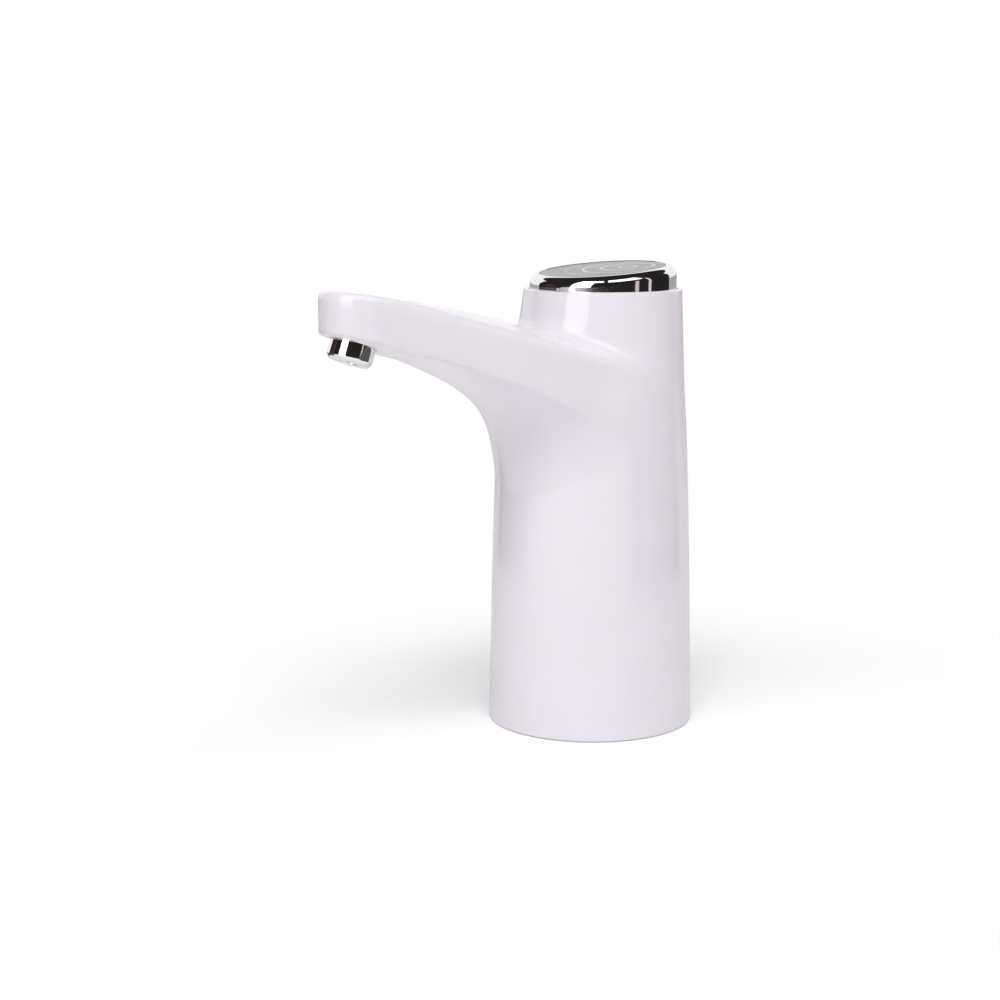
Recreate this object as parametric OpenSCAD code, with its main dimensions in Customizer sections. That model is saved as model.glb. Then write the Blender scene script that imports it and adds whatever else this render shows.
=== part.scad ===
// Rechargeable pump that stands on the neck of a large water jug.
// Origin: centre of the neck socket's mouth. +Z is up, and the spout arm points along -X. Millimetres.

/* [Column] */
// Outside radius of the column at its foot
base_r = 30; // [29.6:0.1:32]
// Taper of the column's side at its foot, per millimetre
taper = 0.008; // [0.005:0.001:0.01]
// How fast that taper grows upwards, per square millimetre
barrel = 0.0002; // [0.00018:0.00001:0.00021]
// Thickness of the housing's outer wall
wall = 2; // [1.6:0.1:2.2]

/* [Collar] */
// Height of the collar's rim above the deck's ledge
deck_depth = 12.5; // [12:0.1:15]
// How much narrower the collar's rim is than the column's foot
rim_in = 7; // [6:0.1:7.2]
// Thickness of the collar's wall at its rim
rim_wall = 1.35; // [1.2:0.05:1.6]
// How far the rim's centre lies behind the column's axis
rim_back = 3.9; // [3:0.1:4.2]
// Height of the collar, from its start inside the column to its rim
collar_len = 37.5; // [31:0.5:43]
// How much narrower the collar is than the column's foot where it starts
collar_in = 3.6; // [3.5:0.1:4]
// How far the collar's centre lies behind the axis at its start
collar_back = 1.2; // [1:0.05:1.3]

/* [Arm] */
// Distance from the column's axis to the centre of the round tip
tip_x = 80.5; // [78:0.5:90]
// Radius of the round tip, seen from above
tip_r = 11.8; // [11.4:0.1:14]
// Height of the arm's top at its tip above the collar's rim
tip_rise = 3.2; // [2.5:0.1:6]
// Fall of the arm's top per millimetre, at the tip
top_slope = 0.138; // [0.12:0.002:0.15]
// How fast that fall grows towards the column, per square millimetre
top_curve = 0.00108; // [0.001:0.00001:0.0012]
// Rounding of the arm's upper edges
edge_round = 2.2; // [1:0.1:3]
// How much narrower the round belly under the arm is than the column's foot
belly_in = 3.6; // [2.5:0.1:3.8]
// How far the upright that the cove leans on lies inside the belly's reach
cove_in = 1; // [0.4:0.1:1.4]
// Depth below the collar's rim at which the underside's straight run would meet that upright
cove_drop = 28.7; // [27.5:0.1:30.5]
// Rise of the underside per millimetre towards the tip
cove_slope = 0.336; // [0.32:0.002:0.35]
// Size of the hollow sweep between column and arm, in square millimetres
cove_size = 90; // [70:1:100]
// Height at which the sweep has run into the column
cove_foot = 62; // [58:1:64]
// How far the underside drops towards the nozzle, to make room for it
tip_drop = 1; // [0:0.1:1.4]
// Distance from the tip's centre at which that drop is complete
drop_x = 5; // [2:0.5:8]
// Length over which it comes in
drop_len = 12; // [8:1:20]

/* [Neck socket] */
// Outside diameter of the jug neck that the pump stands on
neck_d = 55; // [53:0.1:55.2]
// Radial clearance between the neck and the socket
neck_gap = 0.5; // [0.3:0.05:0.6]
// Depth of the socket, up to the gasket
socket_depth = 20; // [18:0.5:21]
// Thickness of the neck gasket
gasket_t = 2; // [1.5:0.1:2.5]
// Width of the gasket and of the base insert's skirt
gasket_w = 3.24; // [3:0.04:3.6]

/* [Base insert] */
// Height of the recess above the gasket that holds the hose spigot
recess_h = 12; // [11:0.5:13]
// Thickness of the insert's plate
plate_t = 2.5; // [2:0.1:3]
// Outside radius of the hose spigot
spigot_r = 4.2; // [3.9:0.1:4.6]
// Length of the hose spigot below the plate
spigot_len = 10; // [8:0.5:10.5]
// How far the closing screws stand in from the insert's skirt
screw_in = 3.2; // [2.8:0.1:3.4]
// Radius of a closing screw's shank
screw_r = 1.2; // [1:0.1:1.4]
// Radius of the bosses that take the closing screws
boss_r = 2.8; // [2.6:0.1:3]

/* [Motor] */
// Gap between the motor's sleeve and the cell's cradle
motor_gap = 1.1; // [0.9:0.05:1.4]
// Radius of the motor can
motor_r = 12.2; // [11.8:0.1:12.3]
// Length of the motor can
motor_len = 31; // [29:0.5:32]
// Thickness of the can's steel
can_t = 1; // [0.8:0.1:1.2]
// Radius of the motor shaft
shaft_r = 1; // [0.9:0.05:1.2]
// Outside radius of the armature
armature_r = 8.8; // [8.4:0.1:9]
// Thickness of the magnets
magnet_t = 1.5; // [1.2:0.1:1.6]
// Thickness of the rubber sleeve round the can
sleeve_t = 1; // [0.6:0.1:1.2]

/* [Pump] */
// Tooth module of the two pump gears
gear_module = 1; // [0.98:0.01:1.04]
// Face width of the gears
gear_w = 6; // [5:0.5:7]
// Backlash between the teeth
backlash = 0.3; // [0.25:0.01:0.35]
// Clearance round the gears in their chamber
chamber_gap = 0.2; // [0.15:0.05:0.3]
// Thickness of the chamber's outer wall
pump_wall = 2.6; // [2.2:0.1:2.8]
// Thickness of the pump cover
cover_t = 3; // [2.5:0.1:3.5]
// Thickness of the pump body above the chamber
pump_roof = 4.6; // [4:0.1:5]
// Free height between the insert's plate and the pump cover
pump_lift = 7.5; // [7:0.5:9]
// Radius of the fixed pin that the driven gear turns on
pin_r = 1.25; // [1:0.05:1.4]

/* [Battery] */
// Gap between the cell's upper end and the column's wall
cell_gap = 0.644; // [0.4:0.002:0.8]
// Radius of the cell
cell_r = 9.2; // [9:0.1:9.3]
// Length of the cell
cell_len = 65; // [60:0.5:75]
// Thickness of the cradle's shell
cradle_t = 1; // [0.8:0.1:1.2]

/* [Tubes] */
// Outside radius of the silicone tubes
tube_r = 3; // [2.8:0.1:3.2]
// Bore radius of the silicone tubes
tube_bore = 2.05; // [1.9:0.05:2.1]

/* [Nozzle] */
// Outside radius of the nozzle
nozzle_r = 6.2; // [6:0.1:6.8]
// How far the nozzle stands out of the arm
nozzle_h = 5.1; // [4:0.1:6]
// Rounding of the nozzle's outer lip
nozzle_lip = 1.4; // [0.4:0.1:1.8]
// Radius of the water hole
outlet_r = 2.4; // [1.8:0.1:2.8]
// Distance of the nozzle's seat from the column's axis
nozzle_x = 83.5; // [80:0.1:90]
// Lean of the nozzle away from the column, in degrees
nozzle_lean = 20; // [18:0.5:22]

/* [Button] */
// Radial gap between the cap and the collar
cap_gap = 0.25; // [0.2:0.05:0.4]
// Height of the cap's top at its centre above the collar's rim
cap_rise = 5.6; // [4.6:0.1:6.6]
// Tilt of the cap's top towards the spout, in degrees
cap_tilt = 5.2; // [3:0.1:6]
// Rounding of the cap's upper edge
cap_round = 2.8; // [2:0.1:3]
// Thickness of the cap's skirt
cap_wall = 1.6; // [1.2:0.1:1.8]
// Width of the flat rim between the face disc and the cap's rounding
face_edge = 0.3; // [0.2:0.05:1]
// Thickness of the face disc
face_t = 1.2; // [0.8:0.1:1.4]
// Travel of the button
travel = 0.5; // [0.3:0.05:0.6]

/* [Switch deck] */
// Free height between the cell's upper end and the control board
board_room = 5.8; // [5.6:0.1:7]
// Thickness of the deck
deck_t = 2; // [1.6:0.1:2.4]
// Thickness of the ledge
ledge_t = 2; // [1.6:0.1:2.4]
// Width of the ledge under the deck
ledge_w = 1.6; // [1.2:0.1:1.8]
// Thickness of the control board
board_t = 1.6; // [1:0.1:1.8]
// Gap between the board's top and the deck
board_drop = 4.4; // [4.2:0.1:4.6]
// Gap between the control board's edge and the hole in the ledge
board_gap = 1.55; // [1.3:0.05:2.5]
// Coil radius of the return spring, to the middle of its wire
spring_r = 5.2; // [4.8:0.1:5.6]
// Radius of the spring's wire
spring_wire = 0.35; // [0.3:0.05:0.45]
// Number of turns of the return spring
spring_turns = 5; // [4:1:6]

/* [Charging socket] */
// Width of the charging socket
usb_w = 9; // [8:0.1:9.4]
// Height of the charging socket
usb_h = 3.2; // [2.8:0.1:3.4]
// Depth of the charging socket
usb_d = 7.4; // [6.8:0.1:8]

/* [Hidden] */

// Clearances
press_gap = 0.02;   // between pieces that are pressed together
running_gap = 0.05; // between a shaft and its bearing
slip_gap = 0.2;     // between pieces that are put in by hand
lap = 0.5;          // how far joined solids reach into each other

// The skin's mesh
skin_fn = 72;
belly_steps = 10;
body_steps = 8;
tip_steps = 6;
cove_steps = 12;
root_steps = 13;
arm_end = -2;

// Heights, from the socket upwards
insert_z = socket_depth + gasket_t;
plate_z = insert_z + recess_h;
plate_top = plate_z + plate_t;
cover_z = plate_top + pump_lift;
pump_z = cover_z + cover_t;
chamber_h = gear_w + 2 * chamber_gap;
pump_top = pump_z + chamber_h + pump_roof;
motor_top = pump_top + motor_len;
cradle_floor = cradle_t + 0.5;
cell_z = plate_top + cradle_floor + slip_gap;
cell_top = cell_z + cell_len;
board_z = cell_top + board_room;
board_top = board_z + board_t;
deck_z = board_top + board_drop;
rim_z = deck_z + deck_depth;
collar_z = rim_z - collar_len;
tip_z = rim_z + tip_rise;
cove_z = rim_z - cove_drop;
cap_z = rim_z + cap_rise;

// Radii, from the column's foot inwards
socket_r = neck_d / 2 + neck_gap;
belly_r = base_r - belly_in;
cove_x = belly_r - cove_in;
collar_r = base_r - collar_in;
rim_r = base_r - rim_in;
well_r = rim_r - rim_wall;
hole_r = well_r - ledge_w;
board_r = hole_r - board_gap;
cap_r = well_r - cap_gap;
face_r = cap_r - cap_round - face_edge;
insert_r = body_r(plate_top) - wall - slip_gap;
gasket_in_r = insert_r - gasket_w;
screw_circle = gasket_in_r - screw_in;

// Places of the cell and the motor across the column
cell_x = body_r(cell_top) - wall - cell_r - cell_gap;
motor_x = cell_r + slip_gap + cradle_t + motor_gap + sleeve_t + motor_r - cell_x;

// The column is round and slightly barrelled, and this is its radius at a height.
function body_r(z) = base_r - taper * z - barrel * z * z;
function collar_radius(z) = collar_r + (rim_r - collar_r) * (z - collar_z) / (rim_z - collar_z);
function collar_shift(z) = collar_back + (rim_back - collar_back) * (z - collar_z) / (rim_z - collar_z);

// The arm's top line, with d the distance from the tip's front.
function top_line(d) = tip_z - top_slope * d - top_curve * d * d;
function arm_top(x) = top_line(x + tip_x + tip_r);

// The cove: a hyperbola between the column's upright front and the straight underside.
// u is the distance in front of the upright, and e sets the curve back by a wall.
function cove_line(u) = cove_z + cove_slope * u - cove_size / u;
function drop(x) = tip_drop * pow(sin(90 * min(max((drop_x + drop_len - tip_x - x) / drop_len, 0), 1)), 2);
function belly_drop(y) = sqrt(max(pow(belly_r, 2) - pow(y, 2), 0)) - belly_r;
function arm_under(x, y, e) =
    let (u = max(e - x - belly_drop(y) - cove_x, 0.5))
    max(cove_line(u) - drop(x), cove_foot) + e;

// Half the arm's width at a station, on the tip's circle or on the line that touches both circles.
function side_angle(z) = asin((body_r(z) - tip_r) / tip_x);
function side_line(x, z, e) = (body_r(z) - e + x * sin(side_angle(z))) / cos(side_angle(z));
function tip_half(x, e) = sqrt(max(pow(tip_r - e, 2) - pow(x + tip_x, 2), 0));
function tip_end(z, e) = -tip_x - (tip_r - e) * sin(side_angle(z));
function arm_half(x, z, e) = x < tip_end(z, e) ? tip_half(x, e) : side_line(x, z, e);

// Stations along the arm: evenly round the tip, then closer and closer as the cove steepens,
// and last evenly through the column, where the lower edges of the arm's sides run out.
cove_first = tip_end(tip_z, 0) + 1.5;
cove_last = -cove_x - 2.2;
function station(i, e) = i < tip_steps
    ? -tip_x - (tip_r - e) * cos(78 * (i + 0.4) / tip_steps)
    : i < tip_steps + cove_steps
    ? -cove_x - (-cove_first - cove_x) * pow(2.2 / (-cove_first - cove_x), (i - tip_steps) / cove_steps)
    : cove_last + (arm_end - cove_last) * (i - tip_steps - cove_steps) / root_steps;

// One section of the arm across its length, inset by e: along the belly, up one side and over the top.
function arm_section(x, e) =
    let (z1 = arm_top(x) - e)
    let (half = arm_half(x, z1, e))
    let (low = arm_half(x, cove_z, e))
    let (f = min(edge_round, 0.8 * half))
    concat(
        [for (j = [0 : belly_steps]) let (y = (2 * j / belly_steps - 1) * low) [x, y, arm_under(x, y, e)]],
        [[x, half, z1 - f], [x, half - 0.3 * f, z1 - 0.3 * f], [x, half - f, z1]],
        [[x, f - half, z1], [x, 0.3 * f - half, z1 - 0.3 * f], [x, -half, z1 - f]]);

// A solid through equal rings of points, closed by a flat face at each end.
module loft(rings) {
    n = len(rings[0]);
    m = len(rings);
    polyhedron(
        points = [for (r = rings) each r],
        faces = concat(
            [[for (j = [0 : n - 1]) j]],
            [for (i = [0 : m - 2], j = [0 : n - 1]) [i * n + j, (i + 1) * n + j, i * n + (j + 1) % n]],
            [for (i = [0 : m - 2], j = [0 : n - 1])
                [i * n + (j + 1) % n, (i + 1) * n + j, (i + 1) * n + (j + 1) % n]],
            [[for (j = [n - 1 : -1 : 0]) (m - 1) * n + j]]));
}

module arm_form(e) {
    loft([for (i = [0 : tip_steps + cove_steps + root_steps]) arm_section(station(i, e), e)]);
}

module body_form(e, z0) {
    z1 = rim_z - 8;
    side = [for (k = [0 : body_steps]) let (z = z0 + (z1 - z0) * k / body_steps) [body_r(z) - e, z]];
    rotate_extrude($fn = skin_fn)
        polygon(concat([[0, z0]], side, [[0, z1]]));
}

// Everything below the arm's top line, right across the column.
module below_top(e) {
    reach = base_r + 5;
    line = [for (k = [0 : 20]) let (x = reach * (k / 10 - 1)) [x, arm_top(x) - e]];
    translate([0, reach, 0])
        rotate([90, 0, 0])
            linear_extrude(height = 2 * reach)
                polygon(concat([[reach, -1], [-reach, -1]], line));
}

module collar_form(e, z1) {
    hull() {
        translate([collar_back, 0, collar_z])
            cylinder(h = 0.01, r = collar_r - e, $fn = skin_fn);
        translate([collar_shift(z1), 0, z1 - 0.01])
            cylinder(h = 0.01, r = collar_radius(z1) - e, $fn = skin_fn);
    }
}

// The outside of the housing from z0 to z1, or the same form set inwards by a wall, as one skin.
module skin_form(e, z0, z1) {
    resize([0, 0, 0])
        union() {
            intersection() {
                body_form(e, z0);
                below_top(e);
            }
            arm_form(e);
            collar_form(e, z1);
        }
}

// Rods and hoses that follow a list of points.
function unit(v) = v / norm(v);
function heading(path, i) = unit(path[min(i + 1, len(path) - 1)] - path[max(i - 1, 0)]);
function ring_at(p, t, r, sides) =
    let (a = unit(cross(t, [0.02, 1, 0])))
    let (b = cross(t, a))
    [for (k = [0 : sides - 1]) p + r * (cos(360 * k / sides) * a + sin(360 * k / sides) * b)];
function curve_point(a, b, c, d, t) =
    0.5 * (2 * b + (c - a) * t + (2 * a - 5 * b + 4 * c - d) * t * t + (3 * b - a - 3 * c + d) * t * t * t);
function smooth_path(p, steps) = concat(
    [for (i = [0 : len(p) - 2], s = [0 : steps - 1])
        curve_point(p[max(i - 1, 0)], p[i], p[i + 1], p[min(i + 2, len(p) - 1)], s / steps)],
    [p[len(p) - 1]]);

module rod(path, r, sides) {
    loft([for (i = [0 : len(path) - 1]) ring_at(path[i], heading(path, i), r, sides)]);
}

module hose(path, r, bore, sides) {
    m = len(path);
    n = sides;
    last = 2 * (m - 1) * n;
    polyhedron(
        points = [for (i = [0 : m - 1], s = [r, bore]) each ring_at(path[i], heading(path, i), s, n)],
        faces = concat(
            [for (i = [0 : m - 2], j = [0 : n - 1]) let (a = 2 * i * n, b = a + 2 * n, k = (j + 1) % n)
                each [[a + j, b + j, a + k], [a + k, b + j, b + k]]],
            [for (i = [0 : m - 2], j = [0 : n - 1]) let (a = (2 * i + 1) * n, b = a + 2 * n, k = (j + 1) % n)
                each [[a + j, a + k, b + j], [a + k, b + k, b + j]]],
            [for (j = [0 : n - 1]) let (k = (j + 1) % n) each [[j, k, n + k], [j, n + k, n + j]]],
            [for (j = [0 : n - 1]) let (k = (j + 1) % n)
                each [[last + j, last + n + k, last + k], [last + j, last + n + j, last + n + k]]]));
}

module at_nozzle() {
    translate([-nozzle_x, 0, arm_under(-nozzle_x, 0, 0)])
        rotate([0, nozzle_lean, 0])
            children();
}

// A point given in the nozzle's own frame, as a place in the part's frame.
function from_nozzle(p) = [
    -nozzle_x + p.x * cos(nozzle_lean) + p.z * sin(nozzle_lean),
    p.y,
    arm_under(-nozzle_x, 0, 0) - p.x * sin(nozzle_lean) + p.z * cos(nozzle_lean)];

module ring(h, r, bore) {
    rotate_extrude($fn = 64)
        translate([bore, 0])
            square([r - bore, h]);
}

// ---------------------------------------------------------------- housing

screw_angles = [45, 135, 285];
boss_h = 9.5;
deck_boss_in = 1.85;
deck_boss_y = hole_r - deck_boss_in;
deck_boss_r = 2.4;
deck_boss_h = 9;
nozzle_seat = 0.8;
stem_r = 3.6;
hole_gap = 0.3;
usb_z = board_z - usb_h / 2;

module closing_bosses() {
    for (a = screw_angles)
        rotate([0, 0, a]) {
            translate([screw_circle, 0, plate_top])
                cylinder(h = boss_h, r = boss_r, $fn = 40);
            translate([screw_circle, -1, plate_top])
                cube([body_r(plate_top) - wall / 2 - screw_circle, 2, boss_h]);
        }
}

module deck_bosses() {
    for (s = [-1, 1])
        translate([rim_back, s * deck_boss_y, deck_z - deck_boss_h]) {
            cylinder(h = deck_boss_h, r = deck_boss_r, $fn = 40);
            translate([-1, s > 0 ? 0 : deck_boss_y - rim_r + wall / 2, 0])
                cube([2, rim_r - wall / 2 - deck_boss_y, deck_boss_h]);
        }
}

module housing() {
    color([0.93, 0.91, 0.95])
        difference() {
            skin_form(0, 0, rim_z);
            difference() {
                skin_form(wall, socket_depth - lap, deck_z - ledge_t);
                closing_bosses();
                deck_bosses();
            }
            translate([0, 0, -1])
                cylinder(h = socket_depth + 1, r = socket_r, $fn = 128);
            translate([rim_back, 0, deck_z])
                cylinder(h = rim_z, r = well_r, $fn = 128);
            difference() {
                translate([rim_back, 0, deck_z - ledge_t - 1])
                    cylinder(h = ledge_t + 2, r = hole_r, $fn = 96);
                deck_bosses();
            }
            for (a = screw_angles)
                rotate([0, 0, a])
                    translate([screw_circle, 0, plate_top - 1])
                        cylinder(h = boss_h, r = screw_r, $fn = 24);
            for (s = [-1, 1])
                translate([rim_back, s * deck_boss_y, deck_z - 6])
                    cylinder(h = 7, r = deck_screw_r, $fn = 24);
            at_nozzle() {
                translate([0, 0, -12])
                    cylinder(h = 12 + nozzle_seat, r = nozzle_r + slip_gap, $fn = 64);
                cylinder(h = 3 * wall, r = stem_r + hole_gap, $fn = 48);
            }
            usb_slot(usb_w + 2 * hole_gap, usb_h + 2 * hole_gap, 3 * wall + 8);
        }
}

// A flat slot with round ends that runs along X at the back, for the socket and its opening.
module usb_slot(w, h, d) {
    for (s = [-1, 1])
        translate([usb_front, s * (w - h) / 2, usb_z])
            rotate([0, 90, 0])
                cylinder(h = d, r = h / 2, $fn = 32);
    translate([usb_front, -(w - h) / 2, usb_z - h / 2])
        cube([d, w - h, h]);
}

// ---------------------------------------------------------------- base insert

insert_x = -motor_x;
pitch_r = 5 * gear_module;
mesh_y = -pitch_r;
driven_y = -2 * pitch_r;
tip_circle = pitch_r + 0.8 * gear_module;
root_circle = pitch_r - 1.05 * gear_module;
chamber_r = tip_circle + chamber_gap;
port_x = insert_x + chamber_r + 1.2;
hose_sides = 10;
barb_r = tube_bore * cos(180 / hose_sides) - press_gap;
barb_bore = 1.2;
barb_len = 4.5;
pillar_r = 2;
pillars = [[insert_x, 5.5], [insert_x - 5, driven_y - 4.5], [insert_x + 4.3, driven_y - 1.6]];

module barb(len) {
    cylinder(h = len, r = barb_r, $fn = 32);
}

module base_insert() {
    color([0.88, 0.88, 0.9])
        difference() {
            union() {
                translate([0, 0, plate_z])
                    cylinder(h = plate_t, r = insert_r, $fn = 96);
                translate([0, 0, insert_z])
                    ring(recess_h + lap, insert_r, gasket_in_r);
                translate([port_x, mesh_y, plate_z - spigot_len])
                    cylinder(h = spigot_len + lap, r = spigot_r, $fn = 48);
                translate([port_x, mesh_y, plate_top - lap])
                    barb(barb_len - 1.5 + lap);
                for (p = pillars)
                    translate([p.x, p.y, plate_top - lap])
                        cylinder(h = pump_lift + lap, r = pillar_r, $fn = 32);
            }
            translate([port_x, mesh_y, plate_z - spigot_len - 1])
                cylinder(h = spigot_len + plate_t + barb_len + 2, r = barb_bore, $fn = 32);
            for (a = screw_angles)
                rotate([0, 0, a])
                    translate([screw_circle, 0, plate_z - 1])
                        cylinder(h = plate_t + 2, r = screw_r + slip_gap, $fn = 24);
        }
}

module neck_gasket() {
    color([0.8, 0.8, 0.82])
        translate([0, 0, socket_depth])
            ring(gasket_t, insert_r, gasket_in_r);
}

// A pan-head screw, with its head's seat at the origin and its shank along +Z.
module screw(shank, len, head, head_h) {
    cylinder(h = len, r = shank, $fn = 24);
    translate([0, 0, -head_h])
        difference() {
            cylinder(h = head_h, r = head, $fn = 32);
            translate([-head * 0.6, -0.25, -0.1])
                cube([head * 1.2, 0.5, head_h / 2]);
            translate([-0.25, -head * 0.6, -0.1])
                cube([0.5, head * 1.2, head_h / 2]);
        }
}

module base_screws() {
    color("silver")
        for (a = screw_angles)
            rotate([0, 0, a])
                translate([screw_circle, 0, plate_z])
                    screw(screw_r - press_gap, plate_t + 6, 2.5, 1.6);
}

// ---------------------------------------------------------------- pump

outlet_x = insert_x - 8.1;
outlet_y = driven_y - 4.6;
groove_w = 2.4;
groove_h = 3;
seal_h = 2;
seal_r = 3.4;
pump_screw_r = 0.9;
pump_screws_at = [[insert_x - 7.2, 5.2], [insert_x + 6.6, 5.2], [insert_x + 6.6, driven_y - 5]];

module pump_plan(grow) {
    hull() {
        translate([insert_x, 0])
            circle(r = chamber_r + pump_wall + grow, $fn = 64);
        translate([insert_x, driven_y])
            circle(r = chamber_r + pump_wall + grow, $fn = 64);
    }
}

module pump_flange() {
    pump_plan(0);
    for (p = pump_screws_at)
        translate(p)
            circle(r = 2.2, $fn = 32);
    translate([outlet_x, outlet_y])
        circle(r = 3.2, $fn = 32);
    translate([port_x - 2.6, mesh_y - 3])
        square([5, 6]);
}

module inlet_tube() {
    color([0.85, 0.87, 0.88, 0.8])
        translate([port_x, mesh_y, plate_top + slip_gap])
            ring(pump_lift - 2 * slip_gap, tube_r, tube_bore);
}

module pump_cover() {
    color([0.3, 0.3, 0.32])
        difference() {
            union() {
                translate([0, 0, cover_z])
                    linear_extrude(height = cover_t)
                        pump_flange();
                translate([port_x, mesh_y, cover_z - barb_len + 1.5])
                    barb(barb_len - 1.5 + lap);
            }
            translate([port_x, mesh_y, cover_z - barb_len])
                cylinder(h = cover_t + barb_len + 1, r = barb_bore, $fn = 32);
            translate([insert_x, driven_y, pump_z - 2])
                cylinder(h = 3, r = pin_r + press_gap, $fn = 32);
            for (p = pump_screws_at)
                translate([p.x, p.y, cover_z - 1])
                    cylinder(h = cover_t + 2, r = pump_screw_r + slip_gap, $fn = 24);
        }
}

module pump_body() {
    roof_z = pump_z + chamber_h;
    color([0.3, 0.3, 0.32])
        difference() {
            union() {
                translate([0, 0, pump_z])
                    linear_extrude(height = chamber_h + pump_roof)
                        pump_flange();
                translate([outlet_x, outlet_y, pump_top - lap])
                    barb(barb_len + lap);
            }
            for (y = [0, driven_y])
                translate([insert_x, y, pump_z - 1])
                    cylinder(h = chamber_h + 1, r = chamber_r, $fn = 96);
            groove([insert_x, mesh_y], [port_x, mesh_y]);
            translate([port_x, mesh_y, pump_z - 1])
                cylinder(h = groove_h + 0.5, r = barb_bore + 0.3, $fn = 32);
            groove([insert_x - 3, mesh_y], [outlet_x, outlet_y]);
            translate([outlet_x, outlet_y, pump_z - 1])
                cylinder(h = chamber_h + pump_roof + barb_len + 2, r = barb_bore, $fn = 32);
            translate([insert_x, 0, roof_z - 1])
                cylinder(h = pump_roof + 2, r = shaft_r + 0.5, $fn = 32);
            translate([insert_x, 0, pump_top - seal_h])
                cylinder(h = seal_h + 1, r = seal_r, $fn = 48);
            translate([insert_x, driven_y, roof_z - 1])
                cylinder(h = 3.6, r = pin_r + press_gap, $fn = 32);
            for (p = pump_screws_at)
                translate([p.x, p.y, pump_z - 1])
                    cylinder(h = 7, r = pump_screw_r, $fn = 24);
        }
}

// An open channel in the body's underside, closed by the cover.
module groove(from, to) {
    translate([from.x, from.y, pump_z - 1])
        rotate([0, 0, atan2(to.y - from.y, to.x - from.x)])
            translate([0, -groove_w / 2, 0])
                cube([norm(to - from), groove_w, groove_h + 1]);
}

module pump_screws() {
    color("silver")
        for (p = pump_screws_at)
            translate([p.x, p.y, cover_z])
                screw(pump_screw_r - press_gap, cover_t + 5, 1.7, 1.1);
}

module shaft_seal() {
    color([0.12, 0.12, 0.13])
        translate([insert_x, 0, pump_top - seal_h + 0.1])
            ring(seal_h - 0.2, seal_r - press_gap, shaft_r + running_gap);
}

// ---------------------------------------------------------------- gears

pressure = 28;
teeth = 10;
gear_base = pitch_r * cos(pressure);
roll_tip = sqrt(pow(tip_circle / gear_base, 2) - 1);
pitch_half = (PI * gear_module / 2 - backlash) / 2 / pitch_r * 180 / PI;
involute_pitch = tan(pressure) * 180 / PI - pressure;
flank_steps = 4;

// A flank point at roll t, as [radius, half angle of the tooth there].
function flank(t) = [gear_base * sqrt(1 + t * t), pitch_half + involute_pitch - (t * 180 / PI - atan(t))];
function polar(r, a) = [r * cos(a), r * sin(a)];

function tooth(centre) = concat(
    [polar(root_circle, centre - pitch_half - involute_pitch)],
    [for (k = [0 : flank_steps]) let (p = flank(roll_tip * k / flank_steps)) polar(p[0], centre - p[1])],
    [for (k = [flank_steps : -1 : 0]) let (p = flank(roll_tip * k / flank_steps)) polar(p[0], centre + p[1])],
    [polar(root_circle, centre + pitch_half + involute_pitch)]);

module gear(turn, bore) {
    difference() {
        linear_extrude(height = gear_w)
            polygon([for (k = [0 : teeth - 1]) each tooth(turn + k * 360 / teeth)]);
        translate([0, 0, -1])
            cylinder(h = gear_w + 2, r = bore, $fn = 48);
    }
}

module drive_gear() {
    color([0.86, 0.85, 0.8])
        translate([insert_x, 0, pump_z + chamber_gap])
            gear(-90, shaft_r + press_gap);
}

module driven_gear() {
    color([0.86, 0.85, 0.8])
        translate([insert_x, driven_y, pump_z + chamber_gap])
            gear(90 + 180 / teeth, pin_r + running_gap);
}

module gear_pin() {
    color("silver")
        translate([insert_x, driven_y, pump_z - 1.8])
            cylinder(h = chamber_h + 1.8 + 2.3, r = pin_r, $fn = 40);
}

// ---------------------------------------------------------------- motor

end_cap_h = 3;
bush_h = 2.6;
bush_r = 3;
tag_out = 7;
tag_t = 0.6;
tag_h = 4;
magnet_r = motor_r - can_t - 0.1;
magnet_over = 1; // how far the magnets reach past the armature at each end
commutator_h = 3.4;
commutator_z = motor_top - bush_h - 1.8 - commutator_h;
core_z = pump_top + 5;
core_len = commutator_z - slip_gap - core_z;

module on_motor(z) {
    translate([insert_x, 0, z])
        children();
}

module motor_can() {
    color("silver")
        on_motor(pump_top)
            difference() {
                cylinder(h = motor_len - end_cap_h, r = motor_r, $fn = 96);
                translate([0, 0, can_t])
                    cylinder(h = motor_len, r = motor_r - can_t, $fn = 96);
                translate([0, 0, -1])
                    cylinder(h = 3, r = bush_r + press_gap, $fn = 48);
            }
}

module motor_magnets() {
    color([0.2, 0.2, 0.22])
        on_motor(core_z - magnet_over)
            for (a = [25, 205])
                rotate([0, 0, a])
                    rotate_extrude(angle = 130, $fn = 72)
                        translate([magnet_r - magnet_t, 0])
                            square([magnet_t, core_len + 2 * magnet_over]);
}

module motor_end_cap() {
    color([0.92, 0.92, 0.9])
        on_motor(motor_top - end_cap_h)
            difference() {
                union() {
                    cylinder(h = end_cap_h, r = motor_r, $fn = 96);
                    translate([0, 0, -2])
                        ring(2 + lap, motor_r - can_t - press_gap, motor_r - can_t - 1.2);
                    for (s = [-1, 1])
                        translate([s * tag_out - 1, -tag_t / 2, end_cap_h - lap])
                            cube([2, tag_t, tag_h + lap]);
                }
                translate([0, 0, -1])
                    cylinder(h = end_cap_h + 2, r = bush_r + press_gap, $fn = 48);
            }
}

module motor_bushes() {
    color([0.75, 0.6, 0.35])
        for (z = [pump_top, motor_top - bush_h])
            on_motor(z)
                ring(bush_h, bush_r, shaft_r + running_gap);
}

module motor_shaft() {
    bottom = pump_z + chamber_gap;
    color("silver")
        on_motor(bottom)
            cylinder(h = motor_top - 0.3 - bottom, r = shaft_r, $fn = 40);
}

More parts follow.
